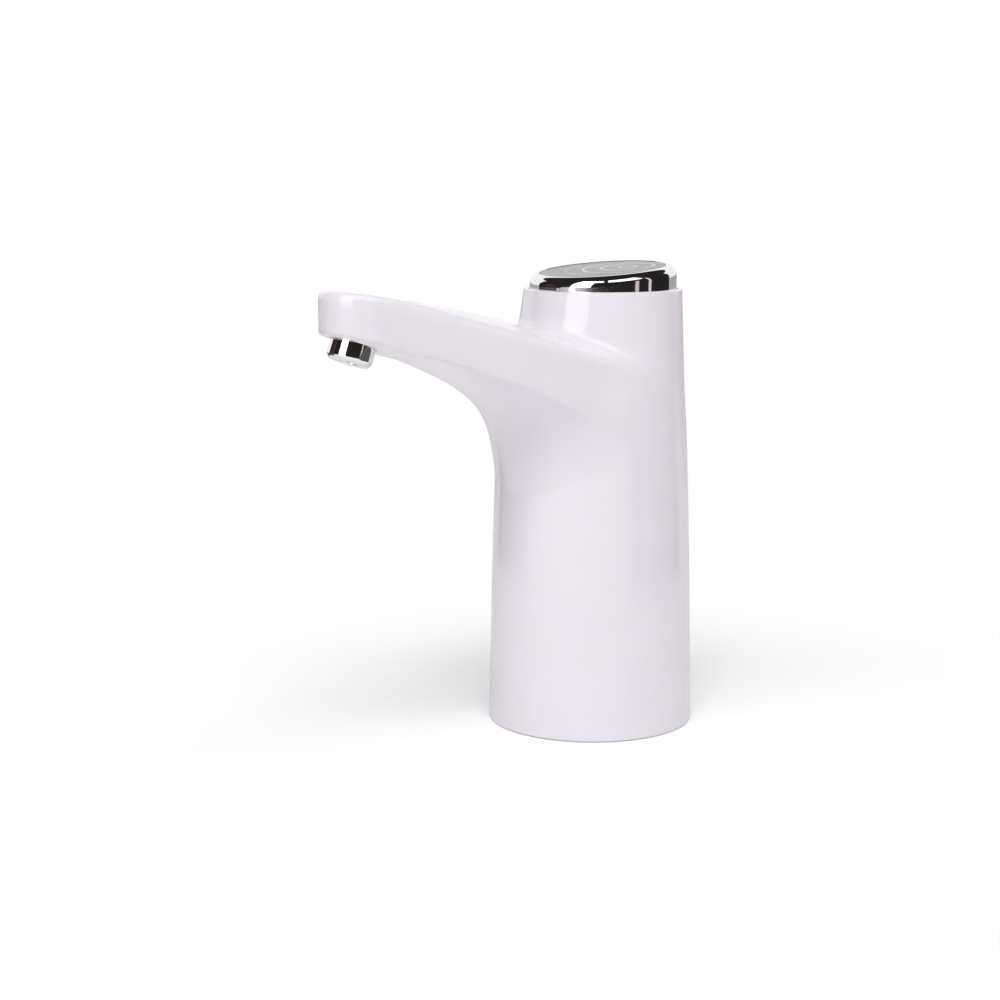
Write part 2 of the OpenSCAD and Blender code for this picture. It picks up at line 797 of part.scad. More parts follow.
// Three wound poles, drawn as one body with three slots.
module armature() {
    color([0.72, 0.4, 0.2])
        on_motor(core_z)
            difference() {
                cylinder(h = core_len, r = armature_r, $fn = 72);
                translate([0, 0, -1])
                    cylinder(h = core_len + 2, r = shaft_r + press_gap, $fn = 40);
                for (a = [0, 120, 240])
                    rotate([0, 0, a])
                        translate([3.4, -0.6, -1])
                            cube([armature_r, 1.2, core_len + 2]);
            }
}

module commutator() {
    color([0.8, 0.5, 0.25])
        on_motor(commutator_z)
            ring(commutator_h, 2.8, shaft_r + press_gap);
}

module motor_sleeve() {
    color([0.15, 0.15, 0.16])
        on_motor(pump_top + 3)
            ring(motor_len - 10, motor_r + sleeve_t, motor_r + press_gap);
}

// ---------------------------------------------------------------- battery

cradle_in = cell_r + slip_gap;
cradle_back = 0.8;
cradle_h = cell_len - 10;

module battery_cell() {
    color([0.25, 0.45, 0.6])
        translate([cell_x, 0, cell_z])
            union() {
                cylinder(h = cell_len - 1, r = cell_r, $fn = 96);
                cylinder(h = cell_len, r = 3.2, $fn = 48);
            }
}

module battery_cradle() {
    color([0.2, 0.2, 0.22])
        translate([cell_x, 0, plate_top])
            difference() {
                cylinder(h = cradle_h, r = cradle_in + cradle_t, $fn = 96);
                translate([0, 0, cradle_floor])
                    cylinder(h = cradle_h, r = cradle_in, $fn = 96);
                translate([cradle_back, -2 * cell_r, cradle_floor])
                    cube([2 * cell_r, 4 * cell_r, cradle_h]);
            }
}

// ---------------------------------------------------------------- water way to the nozzle

// The underside slopes at the nozzle, so its wall is thicker across than straight up.
seat_slope = cove_slope + cove_size / pow(nozzle_x - cove_x, 2);
seat_wall = wall * (1 + seat_slope) * cos(atan(seat_slope));
ring_wire = 0.5;
ring_gap = 0.15;
ring_z = seat_wall + ring_wire + ring_gap;
flange_z = ring_z + ring_wire + running_gap;
flange_t = 0.8;
flange_r = stem_r + 1.4;
elbow_z = 6.5;
stem_top = elbow_z + 3;
nozzle_floor = 1.2;
straightener_t = 1.2;
stem_foot = -nozzle_h + nozzle_floor + straightener_t + 0.1;

// Route of the hose from the pump's outlet barb to the elbow in the arm's tip.
hose_path = concat(
    [[outlet_x, outlet_y, pump_top + slip_gap], [outlet_x, outlet_y, pump_top + 6],
     [outlet_x, outlet_y + 0.2, motor_top - 11], [outlet_x - 1, outlet_y + 1.6, motor_top - 2],
     [outlet_x - 4.4, outlet_y + 5, rim_z - 32.5], [outlet_x - 11.4, outlet_y + 9.6, rim_z - 25],
     [outlet_x - 21.4, -1.6, rim_z - 19.3], [outlet_x - 33.4, 0, rim_z - 15.3]],
    [from_nozzle([15, 0, elbow_z]), from_nozzle([flange_r + slip_gap, 0, elbow_z])]);

module outlet_tube() {
    color([0.85, 0.87, 0.88, 0.8])
        hose(smooth_path(hose_path, 3), tube_r, tube_bore, hose_sides);
}

module outlet_elbow() {
    color([0.9, 0.9, 0.92])
        at_nozzle()
            difference() {
                union() {
                    translate([0, 0, stem_foot])
                        cylinder(h = stem_top - stem_foot, r = stem_r, $fn = 48);
                    translate([0, 0, flange_z])
                        cylinder(h = flange_t, r = flange_r, $fn = 48);
                    translate([0, 0, elbow_z])
                        rotate([0, 90, 0])
                            cylinder(h = flange_r + barb_len, r = barb_r, $fn = 32);
                }
                translate([0, 0, stem_foot - 1])
                    cylinder(h = elbow_z - stem_foot + 1, r = 2, $fn = 32);
                translate([-1, 0, elbow_z])
                    rotate([0, 90, 0])
                        cylinder(h = flange_r + barb_len + 2, r = barb_bore, $fn = 32);
            }
}

module nozzle_ring() {
    color([0.1, 0.1, 0.1])
        at_nozzle()
            translate([0, 0, ring_z])
                rotate_extrude($fn = 48)
                    translate([stem_r + ring_wire + 0.1, 0])
                        circle(r = ring_wire, $fn = 16);
}

module nozzle() {
    top = nozzle_seat - 0.1;
    foot = -nozzle_h;
    bevel = 0.3 * nozzle_lip;
    color([0.75, 0.75, 0.78])
        at_nozzle()
            rotate_extrude($fn = 96)
                polygon([[outlet_r, foot + 0.4], [outlet_r + 0.4, foot], [nozzle_r - nozzle_lip, foot],
                    [nozzle_r - bevel, foot + bevel], [nozzle_r, foot + nozzle_lip], [nozzle_r, top],
                    [stem_r + running_gap, top], [stem_r + running_gap, foot + nozzle_floor],
                    [outlet_r, foot + nozzle_floor]]);
}

module flow_straightener() {
    color([0.9, 0.9, 0.92])
        at_nozzle()
            translate([0, 0, -nozzle_h + nozzle_floor])
                difference() {
                    cylinder(h = straightener_t, r = stem_r - press_gap, $fn = 48);
                    for (a = [0 : 60 : 300])
                        rotate([0, 0, a])
                            translate([1.5, 0, -1])
                                cylinder(h = straightener_t + 2, r = 0.55, $fn = 16);
                    translate([0, 0, -1])
                        cylinder(h = straightener_t + 2, r = 0.55, $fn = 16);
                }
}

// ---------------------------------------------------------------- button, deck and board

deck_screw_r = 0.9;
post_r = 1.6;
post_circle = 12.5;
post_angles = [30, 150, 270];
post_hole = post_r + 0.5;
hook_gap = 0.3;
guide_r = 3.2;
cap_foot = rim_z - 6;
cap_roof = cap_z - cap_r * sin(cap_tilt) - cap_round - 0.6;
board_post_r = 2;
board_post_angles = [90, 210, 330];
plunger_r = 1.75;
plunger_top = deck_z + deck_t;
switch_w = 12;
switch_h = 3.2;

module on_button(z) {
    translate([rim_back, 0, z])
        children();
}

// The tilted top, set over so that its widest ring stays above the skirt.
module on_face() {
    on_button(cap_z)
        translate([-cap_round * sin(cap_tilt), 0, 0])
            rotate([0, -cap_tilt, 0])
                children();
}

module switch_deck() {
    color([0.2, 0.2, 0.22])
        difference() {
            union() {
                on_button(deck_z)
                    cylinder(h = deck_t, r = cap_r, $fn = 96);
                on_button(deck_z)
                    ring(deck_t + 2, spring_r - 1, guide_r - 0.2);
                for (a = board_post_angles)
                    on_button(board_top)
                        rotate([0, 0, a])
                            translate([post_circle, 0, 0])
                                cylinder(h = board_drop + lap, r = board_post_r, $fn = 32);
            }
            on_button(deck_z - 1)
                cylinder(h = deck_t + 4, r = guide_r, $fn = 48);
            for (a = post_angles)
                on_button(deck_z - 1)
                    rotate([0, 0, a])
                        translate([post_circle, 0, 0])
                            cylinder(h = deck_t + 2, r = post_hole, $fn = 32);
            for (s = [-1, 1])
                on_button(deck_z - 1)
                    translate([0, s * deck_boss_y, 0])
                        cylinder(h = deck_t + 2, r = deck_screw_r + slip_gap, $fn = 24);
        }
}

module deck_screws() {
    color("silver")
        for (s = [-1, 1])
            on_button(deck_z + deck_t)
                translate([0, s * deck_boss_y, 0])
                    mirror([0, 0, 1])
                        screw(deck_screw_r - press_gap, deck_t + 5, 1.7, 1.1);
}

module control_board() {
    color([0.05, 0.35, 0.2])
        difference() {
            on_button(board_z)
                cylinder(h = board_t, r = board_r, $fn = 96);
            for (s = [-1, 1])
                on_button(board_z - 1)
                    translate([0, s * (deck_boss_y + 0.6), 0])
                        cylinder(h = board_t + 2, r = deck_boss_r + 1.2, $fn = 40);
        }
}

module board_parts() {
    color([0.1, 0.1, 0.11]) {
        on_button(board_z - 1.5)
            translate([-8, -8, 0])
                cube([6, 5, 1.5]);
        on_button(board_z - 1.1)
            translate([-2, 7, 0])
                cube([4, 3, 1.1]);
        on_button(board_z - 1.2)
            translate([2, -10, 0])
                cube([5, 3, 1.2]);
        on_button(board_z - 4)
            translate([-6.5, 6.5, 0])
                cylinder(h = 4, r = 2.5, $fn = 32);
    }
}

module switch_body() {
    color([0.15, 0.15, 0.16])
        on_button(board_top)
            difference() {
                translate([-switch_w / 2, -switch_w / 2, 0])
                    cube([switch_w, switch_w, switch_h]);
                translate([0, 0, 0.8])
                    cylinder(h = switch_h, r = plunger_r + running_gap, $fn = 40);
            }
}

module switch_plunger() {
    color([0.9, 0.9, 0.88])
        on_button(board_top + 0.8 + travel + slip_gap)
            cylinder(h = plunger_top - board_top - 0.8 - travel - slip_gap, r = plunger_r, $fn = 40);
}

module charging_socket() {
    color("silver")
        difference() {
            usb_slot(usb_w, usb_h, usb_d);
            translate([1, 0, 0])
                usb_slot(usb_w - 0.8, usb_h - 0.8, usb_d);
        }
}

usb_front = rim_back + board_r - 4;

// The spring is one wire: straight flat coils are left out, and its ends are cut square.
spring_foot = deck_z + deck_t + spring_wire + 0.05;
spring_head = cap_roof - spring_wire - 0.05;
spring_rings = 8 * spring_turns;
function spring_point(k) = [
    rim_back + spring_r * cos(360 * k / 8),
    spring_r * sin(360 * k / 8),
    spring_foot + (spring_head - spring_foot) * k / spring_rings];
spring_points = [for (k = [0 : spring_rings]) spring_point(k)];
spring_gap = min([for (i = [0 : spring_rings - 8], j = [i + 4 : spring_rings])
    norm(spring_points[i] - spring_points[j])]) - 2 * spring_wire;
echo(least_gap_between_spring_coils = spring_gap);

module return_spring() {
    color("silver")
        rod(spring_points, spring_wire, 6);
}

// The cap's outside: an upright skirt under a tilted top with a rounded edge.
module cap_form() {
    hull() {
        on_button(cap_foot)
            cylinder(h = 1, r = cap_r, $fn = 72);
        on_face() {
            for (a = [0, 30, 60])
                translate([0, 0, cap_round * (sin(a) - 1)])
                    cylinder(h = 0.01, r = cap_r + cap_round * (cos(a) - 1), $fn = 72);
            translate([0, 0, -0.01])
                cylinder(h = 0.01, r = cap_r - cap_round, $fn = 72);
        }
    }
}

module button_cap() {
    color([0.7, 0.7, 0.72]) {
        difference() {
            cap_form();
            on_button(cap_foot - 1)
                cylinder(h = cap_roof - cap_foot + 1, r = cap_r - cap_wall, $fn = 96);
            on_face()
                translate([0, 0, -face_t])
                    cylinder(h = 10, r = face_r + 0.1, $fn = 96);
        }
        on_button(plunger_top + 0.1)
            cylinder(h = cap_roof + lap - plunger_top - 0.1, r = 2.4, $fn = 40);
        for (a = post_angles)
            on_button(deck_z - 1.6)
                rotate([0, 0, a]) {
                    translate([post_circle, 0, 0])
                        cylinder(h = cap_roof + lap - deck_z + 1.6, r = post_r, $fn = 32);
                    translate([post_circle, -0.8, 0])
                        cube([post_hole + 0.7, 1.6, 1.6 - hook_gap]);
                }
    }
}

module button_face() {
    color([0.74, 0.73, 0.77])
        on_face()
            translate([0, 0, -face_t])
                cylinder(h = face_t - 0.1, r = face_r, $fn = 96);
}

// ---------------------------------------------------------------- leads

lead_r = 0.6;
lead_top = board_z - 0.1;
tag_side = tag_t / 2 + lead_r + 0.05;
tag_left = insert_x - tag_out;
tag_right = insert_x + tag_out;
// Routes of the leads from the motor's tags and the cell's ends to the board's underside.
motor_lead_a = [[tag_left, tag_side, motor_top + 1.5], [tag_left, tag_side, motor_top + 4],
    [tag_left, 1.6, motor_top + 8], [-14, 2.4, board_z - 8], [-10, 3, board_z - 4], [-9.6, 3, lead_top]];
motor_lead_b = [[tag_right, tag_side, motor_top + 1.5], [tag_right, tag_side, motor_top + 4],
    [tag_right, 1.6, motor_top + 8], [-4, 2.4, board_z - 8], [-6.6, 3, board_z - 4], [-7, 3, lead_top]];
cell_lead_a = [[cell_x, 0, cell_top + 0.5], [cell_x - 0.6, 1.2, cell_top + 1.8],
    [cell_x - 2.2, 3.4, board_z - 2.6], [cell_x - 3.2, 5, board_z - 1.6], [cell_x - 3.2, 5.4, lead_top]];
cell_side = cell_r + lead_r + 0.1;
side_x = cell_x + cell_side * cos(70);
side_y = cell_side * sin(70);
cell_lead_b = [[side_x, side_y, cell_z + 0.1], [side_x, side_y, cell_z + 21.8],
    [side_x, side_y, cell_top - 18.2], [side_x - 0.3, side_y + 0.2, cell_top - 5.2],
    [cell_x + 0.8, 10.2, board_z - 5.4], [cell_x - 1.8, 10.8, board_z - 2.6],
    [cell_x - 2.6, 10.8, lead_top]];

module motor_leads() {
    color([0.7, 0.1, 0.1]) {
        rod(smooth_path(motor_lead_a, 2), lead_r, 8);
        rod(smooth_path(motor_lead_b, 2), lead_r, 8);
    }
}

module battery_leads() {
    color([0.1, 0.1, 0.1]) {
        rod(smooth_path(cell_lead_a, 2), lead_r, 8);
        rod(smooth_path(cell_lead_b, 2), lead_r, 8);
    }
}

housing();
base_insert();
neck_gasket();
base_screws();
inlet_tube();
pump_body();
pump_cover();
pump_screws();
shaft_seal();
drive_gear();
driven_gear();
gear_pin();
motor_can();
motor_magnets();
motor_end_cap();
motor_bushes();
motor_shaft();
armature();
commutator();
motor_sleeve();
battery_cell();
battery_cradle();
outlet_tube();
outlet_elbow();
nozzle_ring();
nozzle();
flow_straightener();
switch_deck();
deck_screws();
control_board();
board_parts();
switch_body();
switch_plunger();
charging_socket();
return_spring();
button_cap();
button_face();
motor_leads();
battery_leads();
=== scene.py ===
import math

import bpy
import numpy as np
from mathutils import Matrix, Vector


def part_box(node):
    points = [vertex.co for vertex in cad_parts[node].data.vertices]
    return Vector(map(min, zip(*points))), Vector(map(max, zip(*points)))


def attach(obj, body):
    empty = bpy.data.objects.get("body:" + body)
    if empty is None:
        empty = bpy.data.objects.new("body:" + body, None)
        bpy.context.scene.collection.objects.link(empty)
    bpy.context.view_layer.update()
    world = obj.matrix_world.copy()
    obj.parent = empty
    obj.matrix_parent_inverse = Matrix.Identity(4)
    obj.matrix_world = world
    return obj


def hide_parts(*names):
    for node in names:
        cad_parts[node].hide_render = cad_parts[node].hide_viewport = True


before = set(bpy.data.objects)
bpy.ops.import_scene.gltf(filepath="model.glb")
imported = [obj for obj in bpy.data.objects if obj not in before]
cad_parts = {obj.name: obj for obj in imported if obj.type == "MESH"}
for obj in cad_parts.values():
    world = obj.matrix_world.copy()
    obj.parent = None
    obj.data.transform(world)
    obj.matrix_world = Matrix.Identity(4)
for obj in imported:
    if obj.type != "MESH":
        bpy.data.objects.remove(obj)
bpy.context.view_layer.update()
bpy.ops.object.select_all(action="DESELECT")

# ---------------------------------------------------------------- camera
# A long lens a little above the pump, in front of it and to the left, so that the
# spout points left and towards the viewer.
VIEW_PLACE, VIEW_DIP, VIEW_TURN = (-0.3817, -0.4462, 0.1652), 9.676, -37.92
bpy.ops.object.camera_add(location=VIEW_PLACE,
                          rotation=(math.radians(90 - VIEW_DIP), 0, math.radians(VIEW_TURN)))
camera = bpy.context.object
camera.data.lens = 72.56
camera.data.sensor_width = 36
camera.data.sensor_fit = "HORIZONTAL"
camera.data.clip_start = 0.01
bpy.context.scene.camera = camera
bpy.context.scene.view_settings.view_transform = "Standard"


# ---------------------------------------------------------------- studio
# A white table that runs out to a white room, lit by four soft lamps above the camera and
# to both sides of it. Dark and bright screens show only in polished metal and gloss.
class Signal:
    """One socket of a material, so that shader maths reads as arithmetic."""

    def __init__(self, tree, socket=None):
        self.tree = tree
        self.socket = socket

    def node(self, kind, settings=None, output=0, **inputs):
        made = self.tree.nodes.new("ShaderNode" + kind)
        for name, value in (settings or {}).items():
            if name == "stops":
                ramp = made.color_ramp.elements
                while len(ramp) < len(value):
                    ramp.new(0.5)
                for stop, (place, colour) in zip(ramp, value):
                    stop.position = place
                    stop.color = colour
            else:
                setattr(made, name, value)
        for name, value in inputs.items():
            self.put(made, name, value)
        sockets = [s for s in made.outputs if s.enabled]
        return Signal(self.tree, made.outputs[output] if isinstance(output, str) else sockets[output])

    def put(self, made, name, value):
        wanted = name.replace("_", " ")
        named = [s for s in made.inputs if name == s.identifier or wanted == s.name]
        socket = [s for s in named if s.enabled][0]
        if isinstance(value, Signal):
            self.tree.links.new(value.socket, socket)
        else:
            socket.default_value = value

    def maths(self, operation, first, *others):
        inputs = dict(zip(("Value", "Value_001", "Value_002"), (first, *others)))
        return self.node("Math", {"operation": operation}, **inputs)

    def __add__(self, other):
        return self.maths("ADD", self, other)

    def __sub__(self, other):
        return self.maths("SUBTRACT", self, other)

    def __rsub__(self, other):
        return self.maths("SUBTRACT", other, self)

    def __mul__(self, other):
        return self.maths("MULTIPLY", self, other)

    def __truediv__(self, other):
        return self.maths("DIVIDE", self, other)

    __radd__ = __add__
    __rmul__ = __mul__

    def above(self, low, high):
        """Rises smoothly from 0 to 1 as the value goes from low to high."""
        return self.node("MapRange", {"interpolation_type": "SMOOTHSTEP"}, **{
            "Value": self, "From_Min": low, "From_Max": high})

    def mixed(self, a, b):
        """Colour a where the value is 0 and colour b where it is 1."""
        return self.node("Mix", {"data_type": "RGBA"}, Factor_Float=self, A_Color=a, B_Color=b)


def rays(start):
    """1 for the rays that see the room itself: the camera's, and those off gloss or through clear stuff."""
    seen = [start.node("LightPath", output=kind)
            for kind in ("Is Camera Ray", "Is Glossy Ray", "Is Transmission Ray")]
    return start.maths("MAXIMUM", seen[0], start.maths("MAXIMUM", seen[1], seen[2]))


AMBIENT = 0.40
world = bpy.data.worlds.new("white_room")
bpy.context.scene.world = world
world.use_nodes = True
room = Signal(world.node_tree)
backdrop = room.node("Background", Color=(1, 1, 1, 1), Strength=1.0)
ambient = room.node("Background", Color=(0.995, 0.99, 1, 1), Strength=AMBIENT)
seen_room = room.node("MixShader", Fac=rays(room), Shader=ambient, Shader_001=backdrop)
world.node_tree.links.new(seen_room.socket, world.node_tree.nodes["World Output"].inputs["Surface"])

TABLE_SIZE, TABLE_DROP = 12, 0.0002
FLOOR_LIFT, SHADOW_START, SHADOW_END = 0.14, 0.06, 0.20
bpy.ops.mesh.primitive_plane_add(size=TABLE_SIZE, location=(0, 0, -TABLE_DROP))
floor = bpy.context.object
floor.name = "table_top"
white = bpy.data.materials.new("white_table")
white.use_nodes = True
tree = white.node_tree
table = Signal(tree)
paint = tree.nodes["Principled BSDF"]
paint.inputs["Base Color"].default_value = (0.93, 0.93, 0.935, 1)
paint.inputs["Roughness"].default_value = 0.85
paint.inputs["Specular IOR Level"].default_value = 0.1
paint.inputs["Emission Color"].default_value = (1, 1, 1, 1)
tree.links.new((table.node("LightPath", output="Is Camera Ray") * FLOOR_LIFT).socket,
               paint.inputs["Emission Strength"])
away = table.node("VectorMath", {"operation": "LENGTH"}, output="Value",
                  Vector=table.node("TexCoord", output="Object"))
far = table.node("LightPath", output="Is Camera Ray") * away.above(SHADOW_START, SHADOW_END)
bright = table.node("Emission", Color=(1, 1, 1, 1), Strength=1.0)
lit = Signal(tree, paint.outputs["BSDF"])
tree.links.new(table.node("MixShader", Fac=far, Shader=lit, Shader_001=bright).socket,
               tree.nodes["Material Output"].inputs["Surface"])
floor.data.materials.append(white)


LAMP_TARGET, LAMP_SIZE = (-0.02, 0, 0.08), 0.6


def lamp(name, place, power):
    """A square soft lamp that faces the pump and doesn't show in gloss."""
    bpy.ops.object.light_add(type="AREA", location=place)
    made = bpy.context.object
    made.name = name
    made.rotation_euler = (Vector(LAMP_TARGET) - Vector(place)).to_track_quat("-Z", "Y").to_euler()
    made.data.shape = "RECTANGLE"
    made.data.size = made.data.size_y = LAMP_SIZE
    made.data.energy = power
    made.data.color = (1, 0.995, 0.985)
    made.visible_glossy = False


lamp("key_lamp", (-0.476, -0.611, 1.186), 7.8)
lamp("left_lamp", (-0.689, -0.352, 1.186), 2.4)
lamp("low_left_lamp", (-1.19, 0.061, 0.714), 1.5)
lamp("right_lamp", (0.684, -0.363, 1.186), 2.3)

VIEW_AZIMUTH = math.radians(-90 + VIEW_TURN)
DOME_CENTRE, DOME_R, DARK_DOME_R = 0.12, 1.4, 1.5
STEP_ACROSS, STEP_UP = 6, 10


def screen(name, start, end, low, high, colour=(0.02, 0.018, 0.017), radius=DOME_R):
    """A piece of a dome about the pump, from one angle off the camera to another (right is +),
    and from one angle above the button to another."""
    across = max(2, int(abs(end - start) / STEP_ACROSS))
    up = max(1, int((high - low) / STEP_UP))
    points = []
    for j in range(up + 1):
        rise = math.radians(low + (high - low) * j / up)
        for i in range(across + 1):
            turn = VIEW_AZIMUTH + math.radians(start + (end - start) * i / across)
            out = radius * math.cos(rise)
            points.append((out * math.cos(turn), out * math.sin(turn),
                           max(DOME_CENTRE + radius * math.sin(rise), 0)))
    faces = [(k, k + 1, k + across + 2, k + across + 1)
             for j in range(up) for k in range(j * (across + 1), j * (across + 1) + across)]
    card(name, points, faces, colour)


def card(name, points, faces, colour):
    """A glowing or black sheet that only gloss and polished metal see."""
    mesh = bpy.data.meshes.new(name)
    mesh.from_pydata(points, [], faces)
    made = bpy.data.objects.new(name, mesh)
    bpy.context.scene.collection.objects.link(made)
    cloth = bpy.data.materials.new(name)
    cloth.use_nodes = True
    shader = cloth.node_tree.nodes["Principled BSDF"]
    shader.inputs["Base Color"].default_value = (0, 0, 0, 1)
    shader.inputs["Specular IOR Level"].default_value = 0
    shader.inputs["Emission Color"].default_value = (*colour, 1)
    shader.inputs["Emission Strength"].default_value = 1.0
    mesh.materials.append(cloth)
    made.visible_camera = False
    made.visible_diffuse = False
    made.visible_shadow = False
    made.visible_transmission = False
    made.visible_volume_scatter = False


DARK_FLOOR, DARK_FLOOR_Z, FLOOR_PARTS = (0.10, 0.10, 0.11), 0.0004, 8


def table_end(name, start, end, reach):
    """The dark floor beyond the table's end, as gloss sees it."""
    turns = [VIEW_AZIMUTH + math.radians(start + (end - start) * i / FLOOR_PARTS)
             for i in range(FLOOR_PARTS + 1)]
    points = [(r * math.cos(a), r * math.sin(a), DARK_FLOOR_Z) for r in (reach, DARK_DOME_R) for a in turns]
    faces = [(i, i + 1, i + FLOOR_PARTS + 2, i + FLOOR_PARTS + 1) for i in range(FLOOR_PARTS)]
    card(name, points, faces, DARK_FLOOR)


screen("dark_front", -122, 122, -4.8, 90, radius=DARK_DOME_R)
screen("dark_ceiling", 122, 238, 33, 90, radius=DARK_DOME_R)
screen("left_softbox", -55, -22, -3.0, 60, colour=(3.0, 3.0, 3.05))
screen("left_softbox_top", -22, -6, 42, 58, colour=(2.2, 2.2, 2.25))
screen("right_softbox", 3, 68, 40, 62, colour=(2.4, 2.4, 2.45))
screen("pink_strip", 48, 54, -3.5, 24, colour=(0.72, 0.58, 0.60))
screen("light_strip", 72, 77, -3.5, 40, colour=(0.75, 0.72, 0.74))
screen("brown_curtain", -104, -84, -3.5, 20, colour=(0.06, 0.03, 0.025))
table_end("right_end", 44, 118, 0.26)
table_end("left_end", -136, -80, 0.28)


# ---------------------------------------------------------------- housing
# One glossy pale lilac ABS moulding: the round, slightly barrelled column, the spout arm
# that grows out of it and the collar for the button. Its skin is pulled onto one smooth
# form, then the socket, the cavity, the button's well and the openings are cut out.
MM = 0.001

# Sizes of the form: the column, the collar's rim and foot, the arm's tip and top, and the belly
# and cove below them. BACK is how far behind the column's axis a circle's middle lies.
FOOT_R, TAPER, BARREL = 0.030, 0.008, 0.2
RIM_Z, RIM_R, RIM_BACK = 0.1275, 0.023, 0.0039
COLLAR_Z, COLLAR_R, COLLAR_BACK = 0.090, 0.0264, 0.0012
TIP_X, TIP_R, TIP_Z = -0.0805, 0.01174, 0.1307
TOP_SLOPE, TOP_CURVE = 0.138, 1.08
BELLY_R, COVE_X, COVE_Z, COVE_SLOPE, COVE_SIZE = 0.0264, 0.0254, 0.0988, 0.336, 90e-6
TIP_DROP, DROP_END, DROP_LENGTH = 1 * MM, -0.0755, 0.012
CROWN, CROWN_TOP, CROWN_START, CROWN_FULL, CROWN_EDGE = 4.2 * MM, 0.18, -0.085, -0.040, 1.1
ARM_HALF, ARM_TAPER = FOOT_R - 0.003, 0.19
CREASE, ARM_CREASE, CREASE_RUN = 0.2 * MM, 1.1 * MM, (0.008, 0.034)
TOP_ROUND, RIDGE_GAP, RIDGE_STEEP, RIDGE_FADE = 3.9 * MM, 0.6 * MM, 6, 0.012
COLLAR_FLARE, FLARE_Z = 6, 0.096
BACK_FILLET, SIDE_FILLET, ARM_FILLET = 0.6 * MM, 2.4 * MM, 4 * MM
SIDE_RUN, ARM_RUN = (-0.020, -0.004), (-0.004, 0.014)
WALL = 2 * MM


def column_radius(z):
    return FOOT_R - TAPER * z - BARREL * z * z


def top_height(x):
    d = x - TIP_X + TIP_R
    return TIP_Z - TOP_SLOPE * d - TOP_CURVE * d * d


def cove_reach(q):
    """How far the belly's round front stands before the upright it leans on, at a height q over COVE_Z."""
    return (q + np.sqrt(q * q + 4 * COVE_SLOPE * COVE_SIZE)) / (2 * COVE_SLOPE)


def underside_drop(x):
    """How much lower the underside lies towards the nozzle than its straight run."""
    return TIP_DROP * np.sin(np.pi / 2 * np.clip((DROP_END + DROP_LENGTH - x) / DROP_LENGTH, 0, 1)) ** 2


def crown(x, y):
    """How far the arm's top swells over its middle and falls away to its sides, more so near the collar."""
    half = ARM_HALF + ARM_TAPER * np.minimum(x, 0)
    side = np.minimum(np.abs(y) / half, CROWN_EDGE)
    return CROWN * fade(x, CROWN_START, CROWN_FULL) * (CROWN_TOP - side ** 2)


def soft_min(a, b, width):
    h = np.maximum(width - np.abs(a - b), 0) / width
    return np.minimum(a, b) - h ** 3 * width / 6


def soft_max(a, b, width):
    return -soft_min(-a, -b, width)


def fade(x, start, end):
    t = np.clip((x - start) / (end - start), 0, 1)
    return t * t * t * (t * (6 * t - 15) + 10)


def capsule(x, y, r0, x1, r1):
    """Distance in plan from the hull of a circle on the axis and a circle at x1, in front of it."""
    length = np.maximum(-x1, 1e-9)
    lean = np.clip((r0 - r1) / length, -1, 1)
    cos = np.sqrt(1 - lean * lean)
    along, side = -x, np.abs(y)
    k = along * cos - side * lean
    big = np.hypot(along, side) - r0
    small = np.hypot(along - length, side) - r1
    line = side * cos + along * lean - r0
    return np.where(lean >= 1, big, np.where(k < 0, big, np.where(k > length * cos, small, line)))


def housing_depth(p, inset):
    """How far points lie outside the housing's skin, or a skin inset under it: below nought inside."""
    x, y, z = p[:, 0], p[:, 1], p[:, 2]
    column = column_radius(z)
    plan = capsule(x, y, column, TIP_X, TIP_R)
    q = z - COVE_Z + underside_drop(x)
    reach = cove_reach(q)
    belly = capsule(x, y, column, BELLY_R - COVE_X - reach, BELLY_R)
    front = np.clip(-(x - (BELLY_R - COVE_X - reach)) / BELLY_R, 0, 1)
    steep = (1 + q / np.sqrt(q * q + 4 * COVE_SLOPE * COVE_SIZE)) / (2 * COVE_SLOPE)
    belly = belly / np.sqrt(1 + (front * steep) ** 2)
    crease = CREASE + ARM_CREASE * fade(-x, *CREASE_RUN)
    body = soft_max(plan, belly, crease)
    t = (z - COLLAR_Z) / (RIM_Z - COLLAR_Z)
    r = COLLAR_R + (RIM_R - COLLAR_R) * t
    cx = COLLAR_BACK + (RIM_BACK - COLLAR_BACK) * t
    outside = np.hypot(x - cx, y) - r
    collar = outside + COLLAR_FLARE * np.maximum(FLARE_Z - z, 0) ** 2
    d = x - TIP_X + TIP_R
    slope = TOP_SLOPE + 2 * TOP_CURVE * d
    steep = RIDGE_STEEP * fade(x, -RIDGE_FADE, RIDGE_FADE)
    above = z - top_height(x) - crown(x, y) + steep * (outside - RIDGE_GAP)
    above = above / np.sqrt(1 + slope ** 2 + steep ** 2)
    body = soft_max(body, above, TOP_ROUND)
    fillet = BACK_FILLET + SIDE_FILLET * fade(-x, *SIDE_RUN) + ARM_FILLET * fade(-x, *ARM_RUN)
    return soft_min(body, collar, fillet) + inset


SLOPE_STEP, LEAST_SLOPE, LONGEST_MOVE = 0.01 * MM, 0.05, 2 * MM


